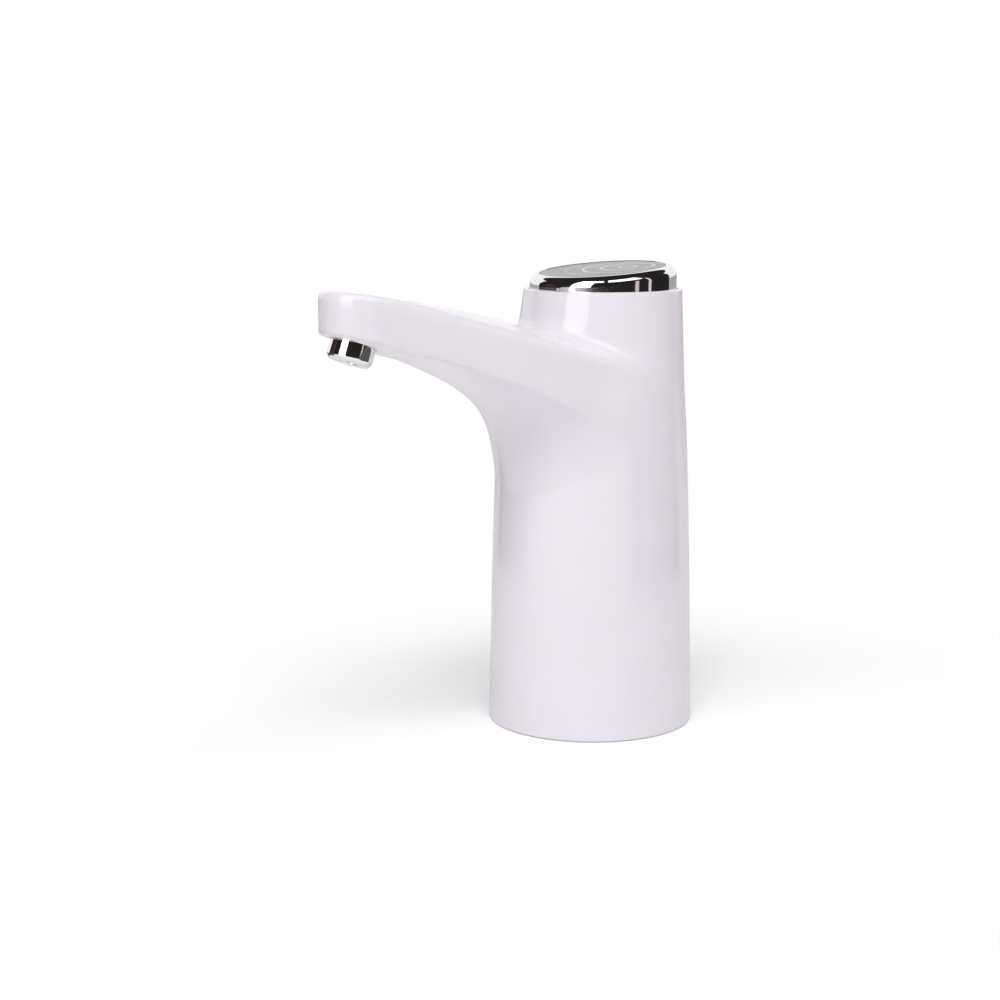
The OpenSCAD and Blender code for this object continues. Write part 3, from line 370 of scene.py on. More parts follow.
def onto_skin(mesh, inset, rounds=6):
    """Moves every vertex along the skin's own slope until it lies on it."""
    co = np.empty(len(mesh.vertices) * 3)
    mesh.vertices.foreach_get("co", co)
    p = co.reshape(-1, 3)
    h = SLOPE_STEP
    for _ in range(rounds):
        depth = housing_depth(p, inset)
        ahead = [housing_depth(p + h * e, inset) for e in np.eye(3)]
        behind = [housing_depth(p - h * e, inset) for e in np.eye(3)]
        slope = np.stack([(a - b) / (2 * h) for a, b in zip(ahead, behind)], 1)
        move = -(depth / np.maximum((slope ** 2).sum(1), LEAST_SLOPE))[:, None] * slope
        size = np.linalg.norm(move, axis=1, keepdims=True)
        p = p + move * np.minimum(1, LONGEST_MOVE / np.maximum(size, 1e-12))
    mesh.vertices.foreach_set("co", p.reshape(-1))
    mesh.update()


def apply(kind, **settings):
    obj = bpy.context.object
    made = obj.modifiers.new(kind.title(), kind)
    for name, value in settings.items():
        setattr(made, name, value)
    bpy.ops.object.modifier_apply(modifier=made.name)


def only(*objects):
    bpy.ops.object.select_all(action="DESELECT")
    for obj in objects:
        obj.select_set(True)
    bpy.context.view_layer.objects.active = objects[0]


def edit(where=None, by="VERT"):
    """Goes into edit mode with all selected, or only the vertices at which where(place) is true."""
    mesh = bpy.context.object.data
    mesh.polygons.foreach_set("select", [where is None] * len(mesh.polygons))
    mesh.edges.foreach_set("select", [where is None] * len(mesh.edges))
    mesh.vertices.foreach_set("select", [where is None or where(v.co) for v in mesh.vertices])
    bpy.context.tool_settings.mesh_select_mode = (True, False, False)
    bpy.ops.object.mode_set(mode="EDIT")
    bpy.ops.mesh.select_mode(type=by)


ROUGH_COLUMN_R, ROUGH_ROOT_R, ROUGH_ARM_H = 0.0285, 0.027, 0.04
ROUGH_ARM_Z, ROUGH_ROOT_Z, ROUGH_COLLAR_Z, ROUGH_COLLAR_X = 0.115, 0.098, 0.092, 0.0025
# Planes that trim the rough arm: x and z of a point on each, then of the way it faces.
ROUGH_TRIMS = ((-0.092, 0.1305, 0.20, 1), (-0.03, 0.1185, 0.29, 1), (-0.092, 0.1200, -0.40, -1))


def rough_housing(grow, low, high):
    """The column, the arm and the collar as plain solids, run together, for the skin to be pulled from."""
    bpy.ops.mesh.primitive_cylinder_add(vertices=48, radius=ROUGH_COLUMN_R + grow, depth=ROUGH_ARM_Z - low,
                                        location=(0, 0, (low + ROUGH_ARM_Z) / 2))
    column = bpy.context.object
    bpy.ops.mesh.primitive_cylinder_add(vertices=32, radius=TIP_R + grow, depth=ROUGH_ARM_H,
                                        location=(TIP_X, 0, ROUGH_ARM_Z))
    arm = bpy.context.object
    bpy.ops.mesh.primitive_cylinder_add(vertices=48, radius=ROUGH_ROOT_R + grow, depth=ROUGH_ARM_H,
                                        location=(0, 0, ROUGH_ROOT_Z))
    arm.select_set(True)
    bpy.context.view_layer.objects.active = arm
    bpy.ops.object.join()
    edit()
    bpy.ops.mesh.convex_hull()
    for x0, z0, nx, nz in ROUGH_TRIMS:
        bpy.ops.mesh.select_all(action="SELECT")
        bpy.ops.mesh.bisect(plane_co=(x0 - grow, 0, z0 + grow * nz), plane_no=(nx, 0, nz),
                            use_fill=True, clear_outer=True)
    bpy.ops.object.mode_set(mode="OBJECT")
    bpy.ops.mesh.primitive_cone_add(vertices=48, radius1=COLLAR_R + grow, radius2=RIM_R + grow,
                                    depth=high - ROUGH_COLLAR_Z,
                                    location=(ROUGH_COLLAR_X, 0, (ROUGH_COLLAR_Z + high) / 2))
    for part in (column, arm):
        part.select_set(True)
    bpy.ops.object.join()
    bpy.ops.object.transform_apply(location=True, rotation=True, scale=True)
    return bpy.context.object


def skin(inset, low, high, coarse, fine, smooths):
    """The housing's form at some depth under its skin, closed, a little longer than needed at both ends."""
    made = rough_housing(-inset, low, high)
    apply("REMESH", mode="VOXEL", voxel_size=coarse)
    onto_skin(made.data, inset)
    apply("REMESH", mode="VOXEL", voxel_size=fine)
    onto_skin(made.data, inset, rounds=4)
    for _ in range(smooths):
        apply("SMOOTH", factor=0.5, iterations=3)
        onto_skin(made.data, inset, rounds=3)
    return made


def slice_flat(z, up):
    """Cuts the selected part off level: what lies beyond z goes, and the cut's edge stays selected."""
    bpy.ops.mesh.bisect(plane_co=(0, 0, z), plane_no=(0, 0, 1 if up else -1), clear_outer=True,
                        threshold=1e-7)


EDGE, EDGE_STEPS = 0.4 * MM, 4


def round_off(centre, radius, z, up):
    """Carries the selected round edge on through a quarter turn and closes it with a flat face."""
    previous, height = radius, 0.0
    for i in range(1, EDGE_STEPS + 1):
        turn = math.radians(90 * i / EDGE_STEPS)
        rise, now = EDGE * math.sin(turn), radius - EDGE * (1 - math.cos(turn))
        lift = (rise - height) * (1 if up else -1)
        bpy.ops.mesh.extrude_region_move(TRANSFORM_OT_translate={"value": (0, 0, lift)})
        bpy.ops.transform.resize(value=(now / previous, now / previous, 1), center_override=(centre, 0, z))
        previous, height = now, rise
    bpy.ops.mesh.edge_face_add()


def cut(tool, keep=False):
    """Takes the tool's solid out of the active object."""
    target = bpy.context.object
    apply("BOOLEAN", operation="DIFFERENCE", solver="MANIFOLD", object=tool)
    if not keep:
        bpy.data.objects.remove(tool)
    only(target)


def turned(name, rings, sides, hollow=False):
    """A turned solid about the Z axis, ring by ring from (radius, height); a hollow one closes on itself."""
    bpy.ops.object.select_all(action="DESELECT")
    radius, height = rings[0]
    bpy.ops.mesh.primitive_circle_add(vertices=sides, radius=radius, location=(0, 0, height))
    made = bpy.context.object
    made.name = name
    bpy.ops.object.transform_apply(location=True, rotation=False, scale=False)
    edit()
    for r, z in rings[1:]:
        bpy.ops.mesh.extrude_region_move(TRANSFORM_OT_translate={"value": (0, 0, z - height)})
        bpy.ops.transform.resize(value=(r / radius, r / radius, 1), center_override=(0, 0, z))
        radius, height = r, z
    bpy.ops.mesh.select_all(action="DESELECT")
    bpy.ops.mesh.select_non_manifold()
    if hollow:
        bpy.ops.mesh.bridge_edge_loops()
    else:
        bpy.ops.mesh.fill_holes(sides=0)
    bpy.ops.mesh.select_all(action="SELECT")
    bpy.ops.mesh.normals_make_consistent(inside=False)
    bpy.ops.object.mode_set(mode="OBJECT")
    return made


def place(obj, location, rotation=(0, 0, 0)):
    """Moves a finished piece to its place, and leaves the place in its mesh."""
    only(obj)
    obj.location = location
    obj.rotation_euler = rotation
    bpy.ops.object.transform_apply(location=True, rotation=True, scale=True)
    return obj


def copies(maker, places):
    """Several copies of one solid, as one object."""
    made = []
    for location, turn in places:
        made.append(place(maker(), location, (0, 0, turn)))
    only(*made)
    bpy.ops.object.join()
    return bpy.context.object


def block(low, high):
    """A plain block from one corner to the other."""
    bpy.ops.mesh.primitive_cube_add(size=1, location=[(a + b) / 2 for a, b in zip(low, high)])
    made = bpy.context.object
    made.scale = [b - a for a, b in zip(low, high)]
    bpy.ops.object.transform_apply(location=True, rotation=True, scale=True)
    return made


PLATE_TOP, BOSS_R, BOSS_H, SCREW_CIRCLE = 0.0365, 2.8 * MM, 9.5 * MM, 20.8 * MM
DECK_Z, LEDGE, DECK_BOSS_Y, DECK_BOSS_R, DECK_BOSS_H = 0.115, 2 * MM, 18.2 * MM, 2.4 * MM, 9 * MM
SOCKET_R, SOCKET_H, SOCKET_BEVEL = 28 * MM, 20 * MM, 0.5 * MM
WELL_R, WELL_TOOL_H, LEDGE_WIDE = 21.65 * MM, 0.02, 1.6 * MM
HOLE_R = WELL_R - LEDGE_WIDE
RIB, FOOT_RIB, DECK_RIB = 1 * MM, 9 * MM, 3.8 * MM
LEDGE_START = -0.0235
# How far the cutting tools reach past what they cut.
PAST, ABOVE, OVER = 0.05, 0.15, 1 * MM

foot_turns = [math.radians(a) for a in (45, 135, 285)]
foot_places = [((SCREW_CIRCLE * math.cos(a), SCREW_CIRCLE * math.sin(a), PLATE_TOP), a) for a in foot_turns]
deck_places = [((RIM_BACK, s * DECK_BOSS_Y, DECK_Z - DECK_BOSS_H), math.radians(90 * s)) for s in (-1, 1)]
posts = copies(lambda: turned("foot_posts", [(BOSS_R, 0), (BOSS_R, BOSS_H)], 40), foot_places)
deck_h = DECK_BOSS_H + 2 * OVER
deck_posts = copies(lambda: turned("deck_posts", [(DECK_BOSS_R, 0), (DECK_BOSS_R, deck_h)], 40), deck_places)
ribs = copies(lambda: block((0, -RIB, 0), (FOOT_RIB, RIB, BOSS_H)), foot_places)
deck_ribs = copies(lambda: block((0, -RIB, 0), (DECK_RIB, RIB, deck_h)), deck_places)

cavity = skin(WALL, low=0.010, high=0.128, coarse=2.4 * MM, fine=1.5 * MM, smooths=1)
cavity.name = "cavity"
below = block((-PAST, -PAST, -PAST), (PAST, PAST, SOCKET_H - SOCKET_BEVEL))
ledge = block((LEDGE_START, -PAST, DECK_Z - LEDGE), (PAST, PAST, ABOVE))
only(cavity)
cut(below)
cut(ledge)
for tool in (posts, ribs, deck_posts, deck_ribs):
    cut(tool, keep=True)

ledge_hole = turned("ledge_hole", [(HOLE_R, 0), (HOLE_R, LEDGE + 2 * OVER)], 128)
place(ledge_hole, (RIM_BACK, 0, DECK_Z - LEDGE - OVER))
for tool in (deck_posts, deck_ribs):
    cut(tool, keep=True)
for tool in (posts, ribs, deck_posts, deck_ribs):
    bpy.data.objects.remove(tool)

# Where the arm's sides run into the collar, the skin is eased a little by smoothing.
SHOULDER_X, SHOULDER_Z, SHOULDER_Y = -0.009, 0.107, 0.012
SHOULDER_LONG, SHOULDER_HIGH = 0.020, 0.012
COLLAR_FRONT = -0.022

housing = skin(0, low=-0.006, high=0.134, coarse=1.2 * MM, fine=0.72 * MM, smooths=2)
housing.name = "column_shell"
shoulder = housing.vertex_groups.new(name="shoulder")
for v in housing.data.vertices:
    away = math.hypot((v.co.x - SHOULDER_X) / SHOULDER_LONG, (v.co.z - SHOULDER_Z) / SHOULDER_HIGH)
    if abs(v.co.y) > SHOULDER_Y and away < 1:
        shoulder.add([v.index], 1 - away * away, "REPLACE")
apply("SMOOTH", factor=0.5, iterations=16, vertex_group="shoulder")
housing.vertex_groups.clear()
edit()
slice_flat(EDGE, False)
round_off(0, column_radius(EDGE), EDGE, False)
bpy.ops.object.mode_set(mode="OBJECT")
edit(lambda at: at.x > COLLAR_FRONT)
slice_flat(RIM_Z - EDGE, True)
round_off(RIM_BACK, RIM_R, RIM_Z - EDGE, True)
bpy.ops.mesh.select_all(action="SELECT")
bpy.ops.mesh.normals_make_consistent(inside=False)
bpy.ops.object.mode_set(mode="OBJECT")

flare = []
for a in (0, 30, 60, 90):
    turn = math.radians(a)
    flare.append((WELL_R + EDGE * (1 - math.cos(turn)), RIM_Z - DECK_Z - EDGE + EDGE * math.sin(turn)))
well = place(turned("well", [(WELL_R, 0), *flare, (WELL_R + EDGE, WELL_TOOL_H)], 192), (RIM_BACK, 0, DECK_Z))
mouth_r = SOCKET_R + SOCKET_BEVEL
socket = turned("socket", [(mouth_r, -2 * MM), (mouth_r, 0), (SOCKET_R, SOCKET_BEVEL),
                           (SOCKET_R, SOCKET_H)], 192)
NOZZLE_X, NOZZLE_LEAN = -0.0835, math.radians(20)
SEAT_R, SEAT_DEPTH, STEM_HOLE_R = 6.4 * MM, 0.8 * MM, 3.9 * MM
under = -NOZZLE_X - COVE_X
NOZZLE_AT = (NOZZLE_X, 0, COVE_Z + COVE_SLOPE * under - COVE_SIZE / under - TIP_DROP)
nozzle_seat = turned("nozzle_seat", [(SEAT_R, -12 * MM), (SEAT_R, SEAT_DEPTH)], 96)
place(nozzle_seat, NOZZLE_AT, (0, NOZZLE_LEAN, 0))
nozzle_hole = turned("nozzle_hole", [(STEM_HOLE_R, 0), (STEM_HOLE_R, 6 * MM)], 64)
place(nozzle_hole, NOZZLE_AT, (0, NOZZLE_LEAN, 0))
SCREW_HOLE_R, DECK_HOLE_R, DECK_HOLE_DEPTH = 1.2 * MM, 0.9 * MM, 6 * MM
screw_holes = copies(lambda: turned("screw_holes", [(SCREW_HOLE_R, 0), (SCREW_HOLE_R, BOSS_H)], 24),
                     [((x, y, z - OVER), turn) for (x, y, z), turn in foot_places])
deck_holes = copies(
    lambda: turned("deck_holes", [(DECK_HOLE_R, 0), (DECK_HOLE_R, DECK_HOLE_DEPTH + OVER)], 24),
    [((x, y, DECK_Z - DECK_HOLE_DEPTH), turn) for (x, y, z), turn in deck_places])

SLOT_W, SLOT_H, SLOT_Z, SLOT_X, SLOT_LONG = 9.6 * MM, 3.8 * MM, 107.4 * MM, 18.4 * MM, 14 * MM
slot_tool = block((SLOT_X, -SLOT_W / 2, SLOT_Z - SLOT_H / 2),
                  (SLOT_X + SLOT_LONG, SLOT_W / 2, SLOT_Z + SLOT_H / 2))
edit(by="EDGE")
bpy.ops.mesh.select_all(action="DESELECT")
bpy.ops.object.mode_set(mode="OBJECT")
for e in slot_tool.data.edges:
    a, b = (slot_tool.data.vertices[i].co for i in e.vertices)
    e.select = abs(a.x - b.x) > 0.01
bpy.ops.object.mode_set(mode="EDIT")
bpy.ops.mesh.bevel(offset=SLOT_H / 2 - 0.01 * MM, segments=8)
bpy.ops.object.mode_set(mode="OBJECT")

only(housing)
for tool in (cavity, ledge_hole, socket, well, nozzle_seat, nozzle_hole, slot_tool, screw_holes, deck_holes):
    cut(tool)
bpy.ops.object.shade_smooth_by_angle(angle=math.radians(38))


def finish(name, **constants):
    """A new material with the shader's constant sockets set, and a Signal to build its patterns on."""
    made = bpy.data.materials.new(name)
    made.use_nodes = True
    shader = made.node_tree.nodes["Principled BSDF"]
    for key, value in constants.items():
        shader.inputs[key.replace("_", " ")].default_value = value
    return made, Signal(made.node_tree), shader


def grain(start, size, detail=3.0, rough=0.5, stretch=(1, 1, 1)):
    """Noise with features of a size in metres, fixed to the piece."""
    at = start.node("TexCoord", output="Object")
    if stretch != (1, 1, 1):
        at = start.node("Mapping", Vector=at, Scale=stretch)
    return start.node("TexNoise", output="Fac", Vector=at, Scale=1 / size, Detail=detail, Roughness=rough)


def relief(start, shader, height, depth):
    """Feeds a height pattern, full of it being depth metres high, to the shader's normal."""
    bump = start.node("Bump", output="Normal", Height=height, Distance=depth, Strength=1.0)
    start.put(shader, "Normal", bump)


def shade(colour, factor):
    return (colour[0] * factor, colour[1] * factor, colour[2] * factor, 1)


def gloss_shell():
    """Polished ABS: nearly even lilac white, with the faintest orange peel and finger smudges."""
    lilac = (0.848, 0.805, 0.868)
    made, start, shader = finish("shell", IOR=1.52, Specular_IOR_Level=0.5)
    cloud = grain(start, 18 * MM, detail=2)
    start.put(shader, "Base Color", cloud.above(0.35, 0.65).mixed(shade(lilac, 0.992), shade(lilac, 1.004)))
    smudge = grain(start, 7 * MM, detail=5, rough=0.6).above(0.52, 0.72)
    fine = grain(start, 0.7 * MM, detail=2)
    start.put(shader, "Roughness", 0.085 + smudge * 0.05 + fine * 0.02)
    relief(start, shader, grain(start, 2.6 * MM, detail=1.5), 0.006 * MM)
    return made


housing.data.materials.clear()
housing.data.materials.append(gloss_shell())
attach(housing, "frame")
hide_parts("housing")


# ---------------------------------------------------------------- base insert and its gasket
# The white plastic insert closes the column's foot above the jug's neck: a plate in a
# round wall, with the hose spigot under it. It is matt from the mould.
def dress(material, *nodes):
    """Gives whole CAD pieces their finish."""
    for name in nodes:
        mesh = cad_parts[name].data
        mesh.materials.clear()
        mesh.materials.append(material)


def moulded(name, colour, rough, texture=0.15 * MM, tint=0.04, **constants):
    """A moulded plastic: faint flow clouding and a fine matt grain from the mould."""
    made, start, shader = finish(name, **constants)
    flow = grain(start, 9 * MM, detail=3, stretch=(1, 1, 0.4)).above(0.3, 0.7)
    start.put(shader, "Base Color", flow.mixed(shade(colour, 1 - tint), shade(colour, 1 + tint / 2)))
    spark = grain(start, texture, detail=2)
    start.put(shader, "Roughness", rough + (spark - 0.5) * 0.12 + (1 - flow) * 0.03)
    relief(start, shader, spark, texture * 0.06)
    return made


def bare_metal(name, colour, rough, lines=(1, 1, 12), tarnish=0.12, scratch=0.25 * MM):
    """A plain metal: fine drawn or turned lines one way, with a little tarnish in clouds."""
    made, start, shader = finish(name, Metallic=1.0)
    clouds = grain(start, 3 * MM, detail=4, rough=0.6).above(0.35, 0.75)
    start.put(shader, "Base Color", clouds.mixed(shade(colour, 1.0), shade(colour, 1 - tarnish)))
    drawn = grain(start, scratch, detail=3, stretch=lines)
    start.put(shader, "Roughness", rough + (drawn - 0.5) * 0.18 + clouds * 0.08)
    relief(start, shader, drawn, scratch * 0.03)
    return made


dress(moulded("insert_plastic", (0.80, 0.80, 0.81), 0.42), "base_insert", "outlet_elbow", "flow_straightener")


def silicone():
    """Soft white silicone: milky, with dust on its matt skin."""
    made, start, shader = finish("silicone_white", Specular_IOR_Level=0.35)
    milk = grain(start, 2.5 * MM, detail=4).above(0.3, 0.7)
    start.put(shader, "Base Color", milk.mixed((0.74, 0.74, 0.73, 1), (0.80, 0.80, 0.79, 1)))
    dust = grain(start, 0.12 * MM, detail=2)
    start.put(shader, "Roughness", 0.5 + dust * 0.25)
    relief(start, shader, dust, 0.006 * MM)
    return made


dress(silicone(), "neck_gasket")
dress(bare_metal("screw_steel", (0.62, 0.61, 0.58), 0.28), "base_screws", "pump_screws", "deck_screws")

# ---------------------------------------------------------------- hoses
# Soft clear silicone hose, pushed over barbs at both ends: a short piece from the spigot to
# the pump, and a long one from the pump up the column and along the arm to the nozzle's elbow.
hose_finish = moulded("tube_silicone", (0.78, 0.80, 0.79), 0.3, 0.5 * MM, Transmission_Weight=0.35, IOR=1.41)
dress(hose_finish, "inlet_tube", "outlet_tube")

# ---------------------------------------------------------------- gear pump
# A dark acetal body and cover with two white acetal gears, the lower end of the motor's
# shaft and a fixed steel pin as their axles, and a rubber lip seal.
dress(moulded("pump_plastic", (0.06, 0.062, 0.068), 0.38), "pump_body", "pump_cover")
dress(moulded("gear_plastic", (0.76, 0.75, 0.70), 0.34, 0.1 * MM), "drive_gear", "driven_gear")


def rubber():
    """Black nitrile rubber: dull, with bloom and fine pits."""
    made, start, shader = finish("seal_rubber", Specular_IOR_Level=0.3)
    bloom = grain(start, 1.5 * MM, detail=4).above(0.4, 0.75)
    start.put(shader, "Base Color", bloom.mixed((0.018, 0.018, 0.019, 1), (0.035, 0.034, 0.034, 1)))
    pits = grain(start, 0.1 * MM, detail=3)
    start.put(shader, "Roughness", 0.55 + pits * 0.25)
    relief(start, shader, pits, 0.01 * MM)
    return made


dress(rubber(), "shaft_seal", "motor_sleeve", "nozzle_ring")
dress(bare_metal("ground_steel", (0.66, 0.66, 0.67), 0.14, lines=(1, 1, 30)), "gear_pin", "motor_shaft")

# ---------------------------------------------------------------- motor
# A small brushed motor: a drawn nickel-plated can, two ferrite arcs, a plastic end cap,
# bronze bushes and a copper-wound armature with its commutator.
dress(bare_metal("can_steel", (0.70, 0.69, 0.66), 0.22, lines=(1, 1, 0.15)), "motor_can")


def cells(start, size):
    """Round cells of a size in metres, dark in their middles, fixed to the piece."""
    at = start.node("TexCoord", output="Object")
    return start.node("TexVoronoi", output="Distance", Vector=at, Scale=1 / size)


def ferrite():
    """Sintered ferrite: dark, granular, with lighter chipped grains."""
    made, start, shader = finish("ferrite")
    grit = cells(start, 0.35 * MM)
    chipped = grit.above(0.1, 0.7)
    start.put(shader, "Base Color", chipped.mixed((0.07, 0.07, 0.072, 1), (0.03, 0.03, 0.032, 1)))
    start.put(shader, "Roughness", 0.55 + grit * 0.3)
    relief(start, shader, grit, 0.02 * MM)
    return made


dress(ferrite(), "motor_magnets")
dress(moulded("cap_plastic", (0.82, 0.80, 0.74), 0.4), "motor_end_cap", "switch_plunger")


def bronze():
    """Oil-filled sintered bronze: warm, with dark pores."""
    made, start, shader = finish("bronze", Metallic=1.0)
    pores = cells(start, 0.12 * MM).above(0.15, 0.45)
    start.put(shader, "Base Color", pores.mixed((0.20, 0.12, 0.06, 1), (0.62, 0.42, 0.22, 1)))
    start.put(shader, "Roughness", 0.55 - pores * 0.2)
    relief(start, shader, pores, 0.01 * MM)
    return made


dress(bronze(), "motor_bushes")


def winding():
    """Enamelled copper wire, laid turn by turn."""
    made, start, shader = finish("winding", Metallic=1.0)
    at = start.node("TexCoord", output="Object")
    turns = start.node("TexWave", {"wave_type": "BANDS", "bands_direction": "DIAGONAL"}, output="Fac",
                       Vector=at, Scale=420.0, Distortion=1.2, Detail=1.0)
    start.put(shader, "Base Color", turns.mixed((0.28, 0.10, 0.04, 1), (0.80, 0.38, 0.18, 1)))
    start.put(shader, "Roughness", 0.38 - turns * 0.14)
    relief(start, shader, turns, 0.05 * MM)
    return made


dress(winding(), "armature", "commutator")

# ---------------------------------------------------------------- cell and its cradle
# A rechargeable cell in a shrunk blue sleeve, held upright behind the pump in a thin
# black cradle.
def cell_sleeve():
    """Shrink film: glossy blue, a little lighter and more puckered near its ends."""
    low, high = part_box("battery_cell")
    middle, half = (low.z + high.z) / 2, (high.z - low.z) / 2
    made, start, shader = finish("cell_wrap", Coat_Weight=0.3, Coat_Roughness=0.12)
    level = start.node("SeparateXYZ", output="Z", Vector=start.node("TexCoord", output="Object"))
    near_end = start.maths("ABSOLUTE", level - middle).above(half - 3 * MM, half)
    pucker = grain(start, 1.2 * MM, detail=2, stretch=(1, 1, 0.15))
    start.put(shader, "Base Color", near_end.mixed((0.015, 0.10, 0.32, 1), (0.03, 0.15, 0.40, 1)))
    start.put(shader, "Roughness", 0.24 + pucker * 0.1 + near_end * 0.1)
    relief(start, shader, pucker * (0.15 + near_end), 0.06 * MM)
    return made


dress(cell_sleeve(), "battery_cell")
dress(moulded("deck_plastic", (0.035, 0.035, 0.038), 0.36), "battery_cradle", "switch_deck")


# ---------------------------------------------------------------- control board
# A round green circuit board with a switch, the charging socket and a few parts, under
# the deck that closes the button's well.
def circuit_board():
    """Solder mask over copper tracks: the tracks stand out a shade lighter."""
    made, start, shader = finish("board_green", Coat_Weight=0.4, Coat_Roughness=0.15)
    at = start.node("TexCoord", output="Object")
    tracks = start.node("TexBrick", {"offset": 0.35, "squash": 2.0}, output="Fac", Vector=at,
                        Scale=1.0, Mortar_Size=0.00035, Brick_Width=0.0062, Row_Height=0.0021)
    weave = grain(start, 0.4 * MM, detail=2)
    start.put(shader, "Base Color", tracks.mixed((0.008, 0.10, 0.035, 1), (0.03, 0.22, 0.08, 1)))
    start.put(shader, "Roughness", 0.3 + weave * 0.15)
    relief(start, shader, tracks + weave * 0.3, 0.03 * MM)
    return made


dress(circuit_board(), "control_board")
dress(moulded("chip_black", (0.022, 0.022, 0.024), 0.4, 0.08 * MM), "board_parts", "switch_body")
dress(bare_metal("socket_steel", (0.70, 0.70, 0.71), 0.2, lines=(10, 1, 1)), "charging_socket")
dress(bare_metal("spring_steel", (0.58, 0.58, 0.60), 0.22), "return_spring")

# ---------------------------------------------------------------- leads
# Thin stranded wire in soft PVC, soldered to the underside of the board: red from the
# motor, black from the cell.
dress(moulded("lead_red", (0.42, 0.02, 0.016), 0.42, 0.3 * MM), "motor_leads")
dress(moulded("lead_black", (0.02, 0.02, 0.022), 0.45, 0.3 * MM), "battery_leads")


# ---------------------------------------------------------------- nozzle
# A chromed ring with a rounded lip, pushed into the round seat under the arm's tip. The
# water comes out of the hole in its middle.
def chrome():
    """Chrome plate: a near mirror, with wiping haze and a few hairline scratches."""
    made, start, shader = finish("chrome_trim", Metallic=1.0)
    haze = grain(start, 5 * MM, detail=4).above(0.45, 0.8)
    hairs = grain(start, 0.3 * MM, detail=2, stretch=(1, 1, 14)).above(0.62, 0.75)
    start.put(shader, "Base Color", haze.mixed((0.86, 0.85, 0.855, 1), (0.80, 0.79, 0.80, 1)))
    start.put(shader, "Roughness", 0.035 + haze * 0.035 + hairs * 0.03)
    relief(start, shader, hairs, 0.0006 * MM)
    return made


def arc(centre_r, centre_h, radius, start, end, steps):
    """Ring sizes along a rounded edge, from one angle to another, in degrees above level."""
    angles = [math.radians(start + (end - start) * i / steps) for i in range(steps + 1)]
    return [(centre_r + radius * math.cos(a), centre_h + radius * math.sin(a)) for a in angles]


NOZZLE_R, NOZZLE_H, OUTLET_R, STEM_R = 6.2 * MM, 5.1 * MM, 2.4 * MM, 3.65 * MM
NOZZLE_LIP, NOZZLE_FLOOR, NOZZLE_TOP = 1.4 * MM, 1.5 * MM, 0.7 * MM
OUTLET_ROUND, NOZZLE_BEVEL = 0.4 * MM, 0.1 * MM
chrome_plate = chrome()
nozzle = turned("spout_nozzle", [
    (OUTLET_R, -NOZZLE_H + NOZZLE_FLOOR),
    *arc(OUTLET_R + OUTLET_ROUND, -NOZZLE_H + OUTLET_ROUND, OUTLET_ROUND, 180, 270, 4),
    *arc(NOZZLE_R - NOZZLE_LIP, -NOZZLE_H + NOZZLE_LIP, NOZZLE_LIP, -90, 0, 10),
    (NOZZLE_R, NOZZLE_TOP - NOZZLE_BEVEL), (NOZZLE_R - NOZZLE_BEVEL, NOZZLE_TOP), (STEM_R, NOZZLE_TOP),
    (STEM_R, -NOZZLE_H + NOZZLE_FLOOR)], 160, hollow=True)
bpy.ops.object.shade_smooth_by_angle(angle=math.radians(30))
place(nozzle, NOZZLE_AT, (0, NOZZLE_LEAN, 0))
nozzle.data.materials.append(chrome_plate)
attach(nozzle, "frame")
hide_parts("nozzle")

# ---------------------------------------------------------------- button cap
# A chromed plastic cap that slides in the collar's well, its round-shouldered top tilted
# a little towards the spout. A shallow recess holds the face disc.
CAP_R, CAP_WALL, CAP_Z, CAP_TILT, CAP_ROUND = 21.4 * MM, 1.6 * MM, 133.08 * MM, math.radians(5.2), 2.8 * MM
CAP_FOOT, CAP_BEVEL, ROOF_SKIN = 121.5 * MM, 0.3 * MM, 0.6 * MM
FACE_R, FACE_T, FACE_SINK, FACE_GAP, RECESS_LIP = 18.3 * MM, 1.2 * MM, 0.12 * MM, 0.1 * MM, 0.02 * MM
foot_h = CAP_FOOT - CAP_Z
roof_h = -CAP_R * math.sin(CAP_TILT) - CAP_ROUND - ROOF_SKIN
cap = turned("push_button", [
    (FACE_R + FACE_GAP, -FACE_T), (FACE_R + FACE_GAP, -FACE_SINK), (FACE_R + 2 * FACE_GAP, -RECESS_LIP),
    *arc(CAP_R - CAP_ROUND, -CAP_ROUND, CAP_ROUND, 90, 0, 16)[1:],
    (CAP_R, foot_h + CAP_BEVEL), (CAP_R - CAP_BEVEL, foot_h), (CAP_R - CAP_WALL, foot_h),
    (CAP_R - CAP_WALL, roof_h)], 192)
bpy.ops.object.shade_smooth_by_angle(angle=math.radians(30))
axis = Vector((-math.sin(CAP_TILT), 0, math.cos(CAP_TILT)))
centre = Vector((RIM_BACK - CAP_ROUND * math.sin(CAP_TILT), 0, CAP_Z))
place(cap, centre, (0, -CAP_TILT, 0))
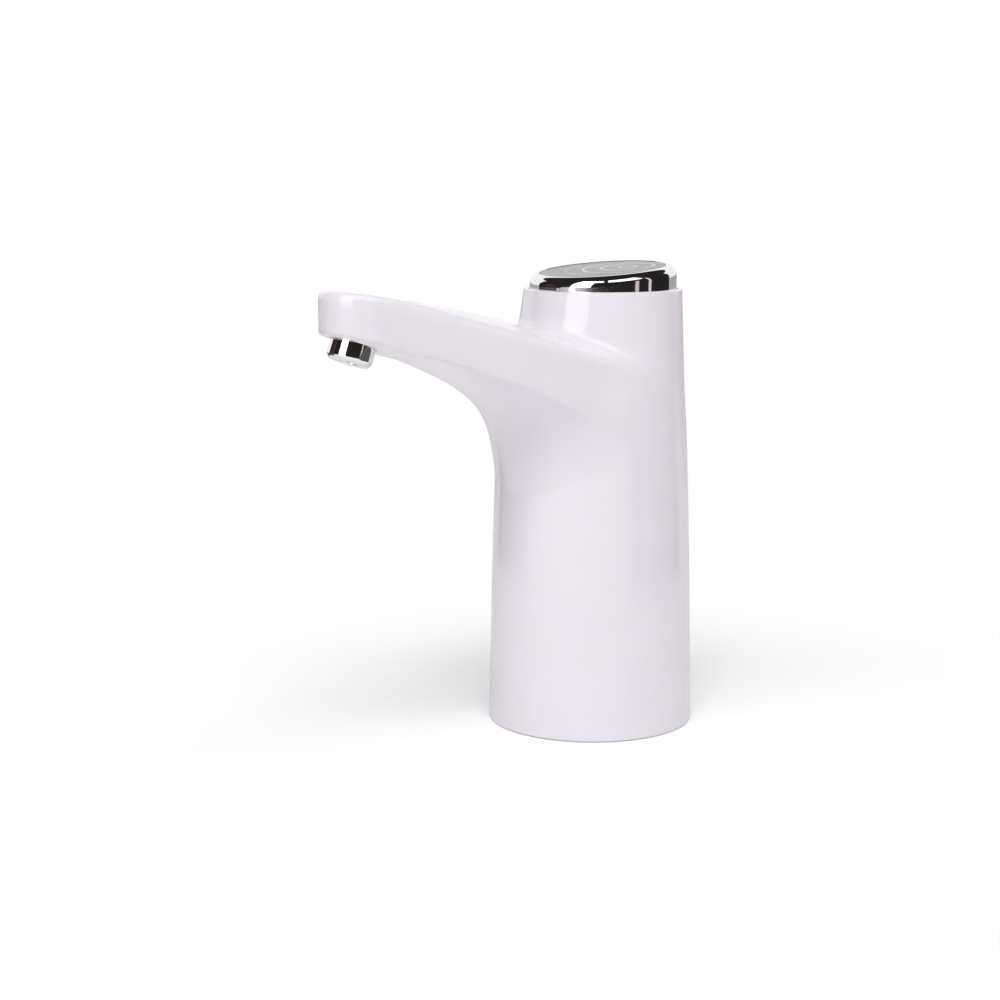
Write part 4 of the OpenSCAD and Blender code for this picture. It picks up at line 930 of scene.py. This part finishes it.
# The foot and the roof were tilted with the top: these rings are turned level again.
for level in (foot_h, foot_h + CAP_BEVEL, roof_h):
    edit(lambda at: abs((at - centre).dot(axis) - level) < 0.01 * MM)
    middle = centre + axis * level
    bpy.ops.transform.resize(value=(1, 1, 0), center_override=middle)
    bpy.ops.transform.translate(value=(RIM_BACK - middle.x, 0, CAP_Z + level - middle.z))
    bpy.ops.object.mode_set(mode="OBJECT")
cap.data.materials.append(chrome_plate)
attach(cap, "button")
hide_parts("button_cap")


# ---------------------------------------------------------------- face disc
# A thin disc in the cap's recess, lacquered a satin silver grey with a breath of lilac. Its
# faint printed rings spread from one side, like ripples on water.
RIPPLE, RIPPLE_X, RIPPLE_Y, RIPPLE_FADE = 2.6 * MM, RIM_BACK + 6 * MM, -4 * MM, (13 * MM, 22 * MM)


def face_finish():
    """Silver-grey lacquer with fine brushed streaks; the rings are printed in white."""
    made, start, shader = finish("face_metal", IOR=1.5)
    at = start.node("TexCoord", output="Object")
    drop = start.node("VectorMath", {"operation": "DISTANCE"}, output="Value", Vector=at,
                      Vector_001=(RIPPLE_X, RIPPLE_Y, CAP_Z))
    ring = start.maths("PINGPONG", drop, RIPPLE) / RIPPLE
    line = ring.above(0.80, 0.94) * (1 - drop.above(*RIPPLE_FADE))
    brushed = grain(start, 0.3 * MM, detail=3, stretch=(14, 1, 1))
    cloud = grain(start, 9 * MM, detail=2).above(0.3, 0.7)
    grey = cloud.mixed((0.16, 0.155, 0.165, 1), (0.24, 0.235, 0.25, 1))
    start.put(shader, "Base Color", line.mixed(grey, (0.62, 0.61, 0.63, 1)))
    start.put(shader, "Metallic", 0.25 * (1 - line))
    start.put(shader, "Roughness", 0.20 + brushed * 0.10)
    relief(start, shader, brushed * 0.25 + line, 0.006 * MM)
    return made


FACE_BEVEL, FACE_EDGE, FACE_TOP = 0.1 * MM, 0.3 * MM, 0.1 * MM
face = turned("button_disc", [(FACE_R, -FACE_T), (FACE_R, -FACE_EDGE), (FACE_R - FACE_BEVEL, -FACE_SINK),
                              (FACE_R - FACE_EDGE, -FACE_TOP)], 160)
bpy.ops.object.shade_smooth_by_angle(angle=math.radians(40))
place(face, centre, (0, -CAP_TILT, 0))
face.data.materials.append(face_finish())
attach(face, "button")
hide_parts("button_face")
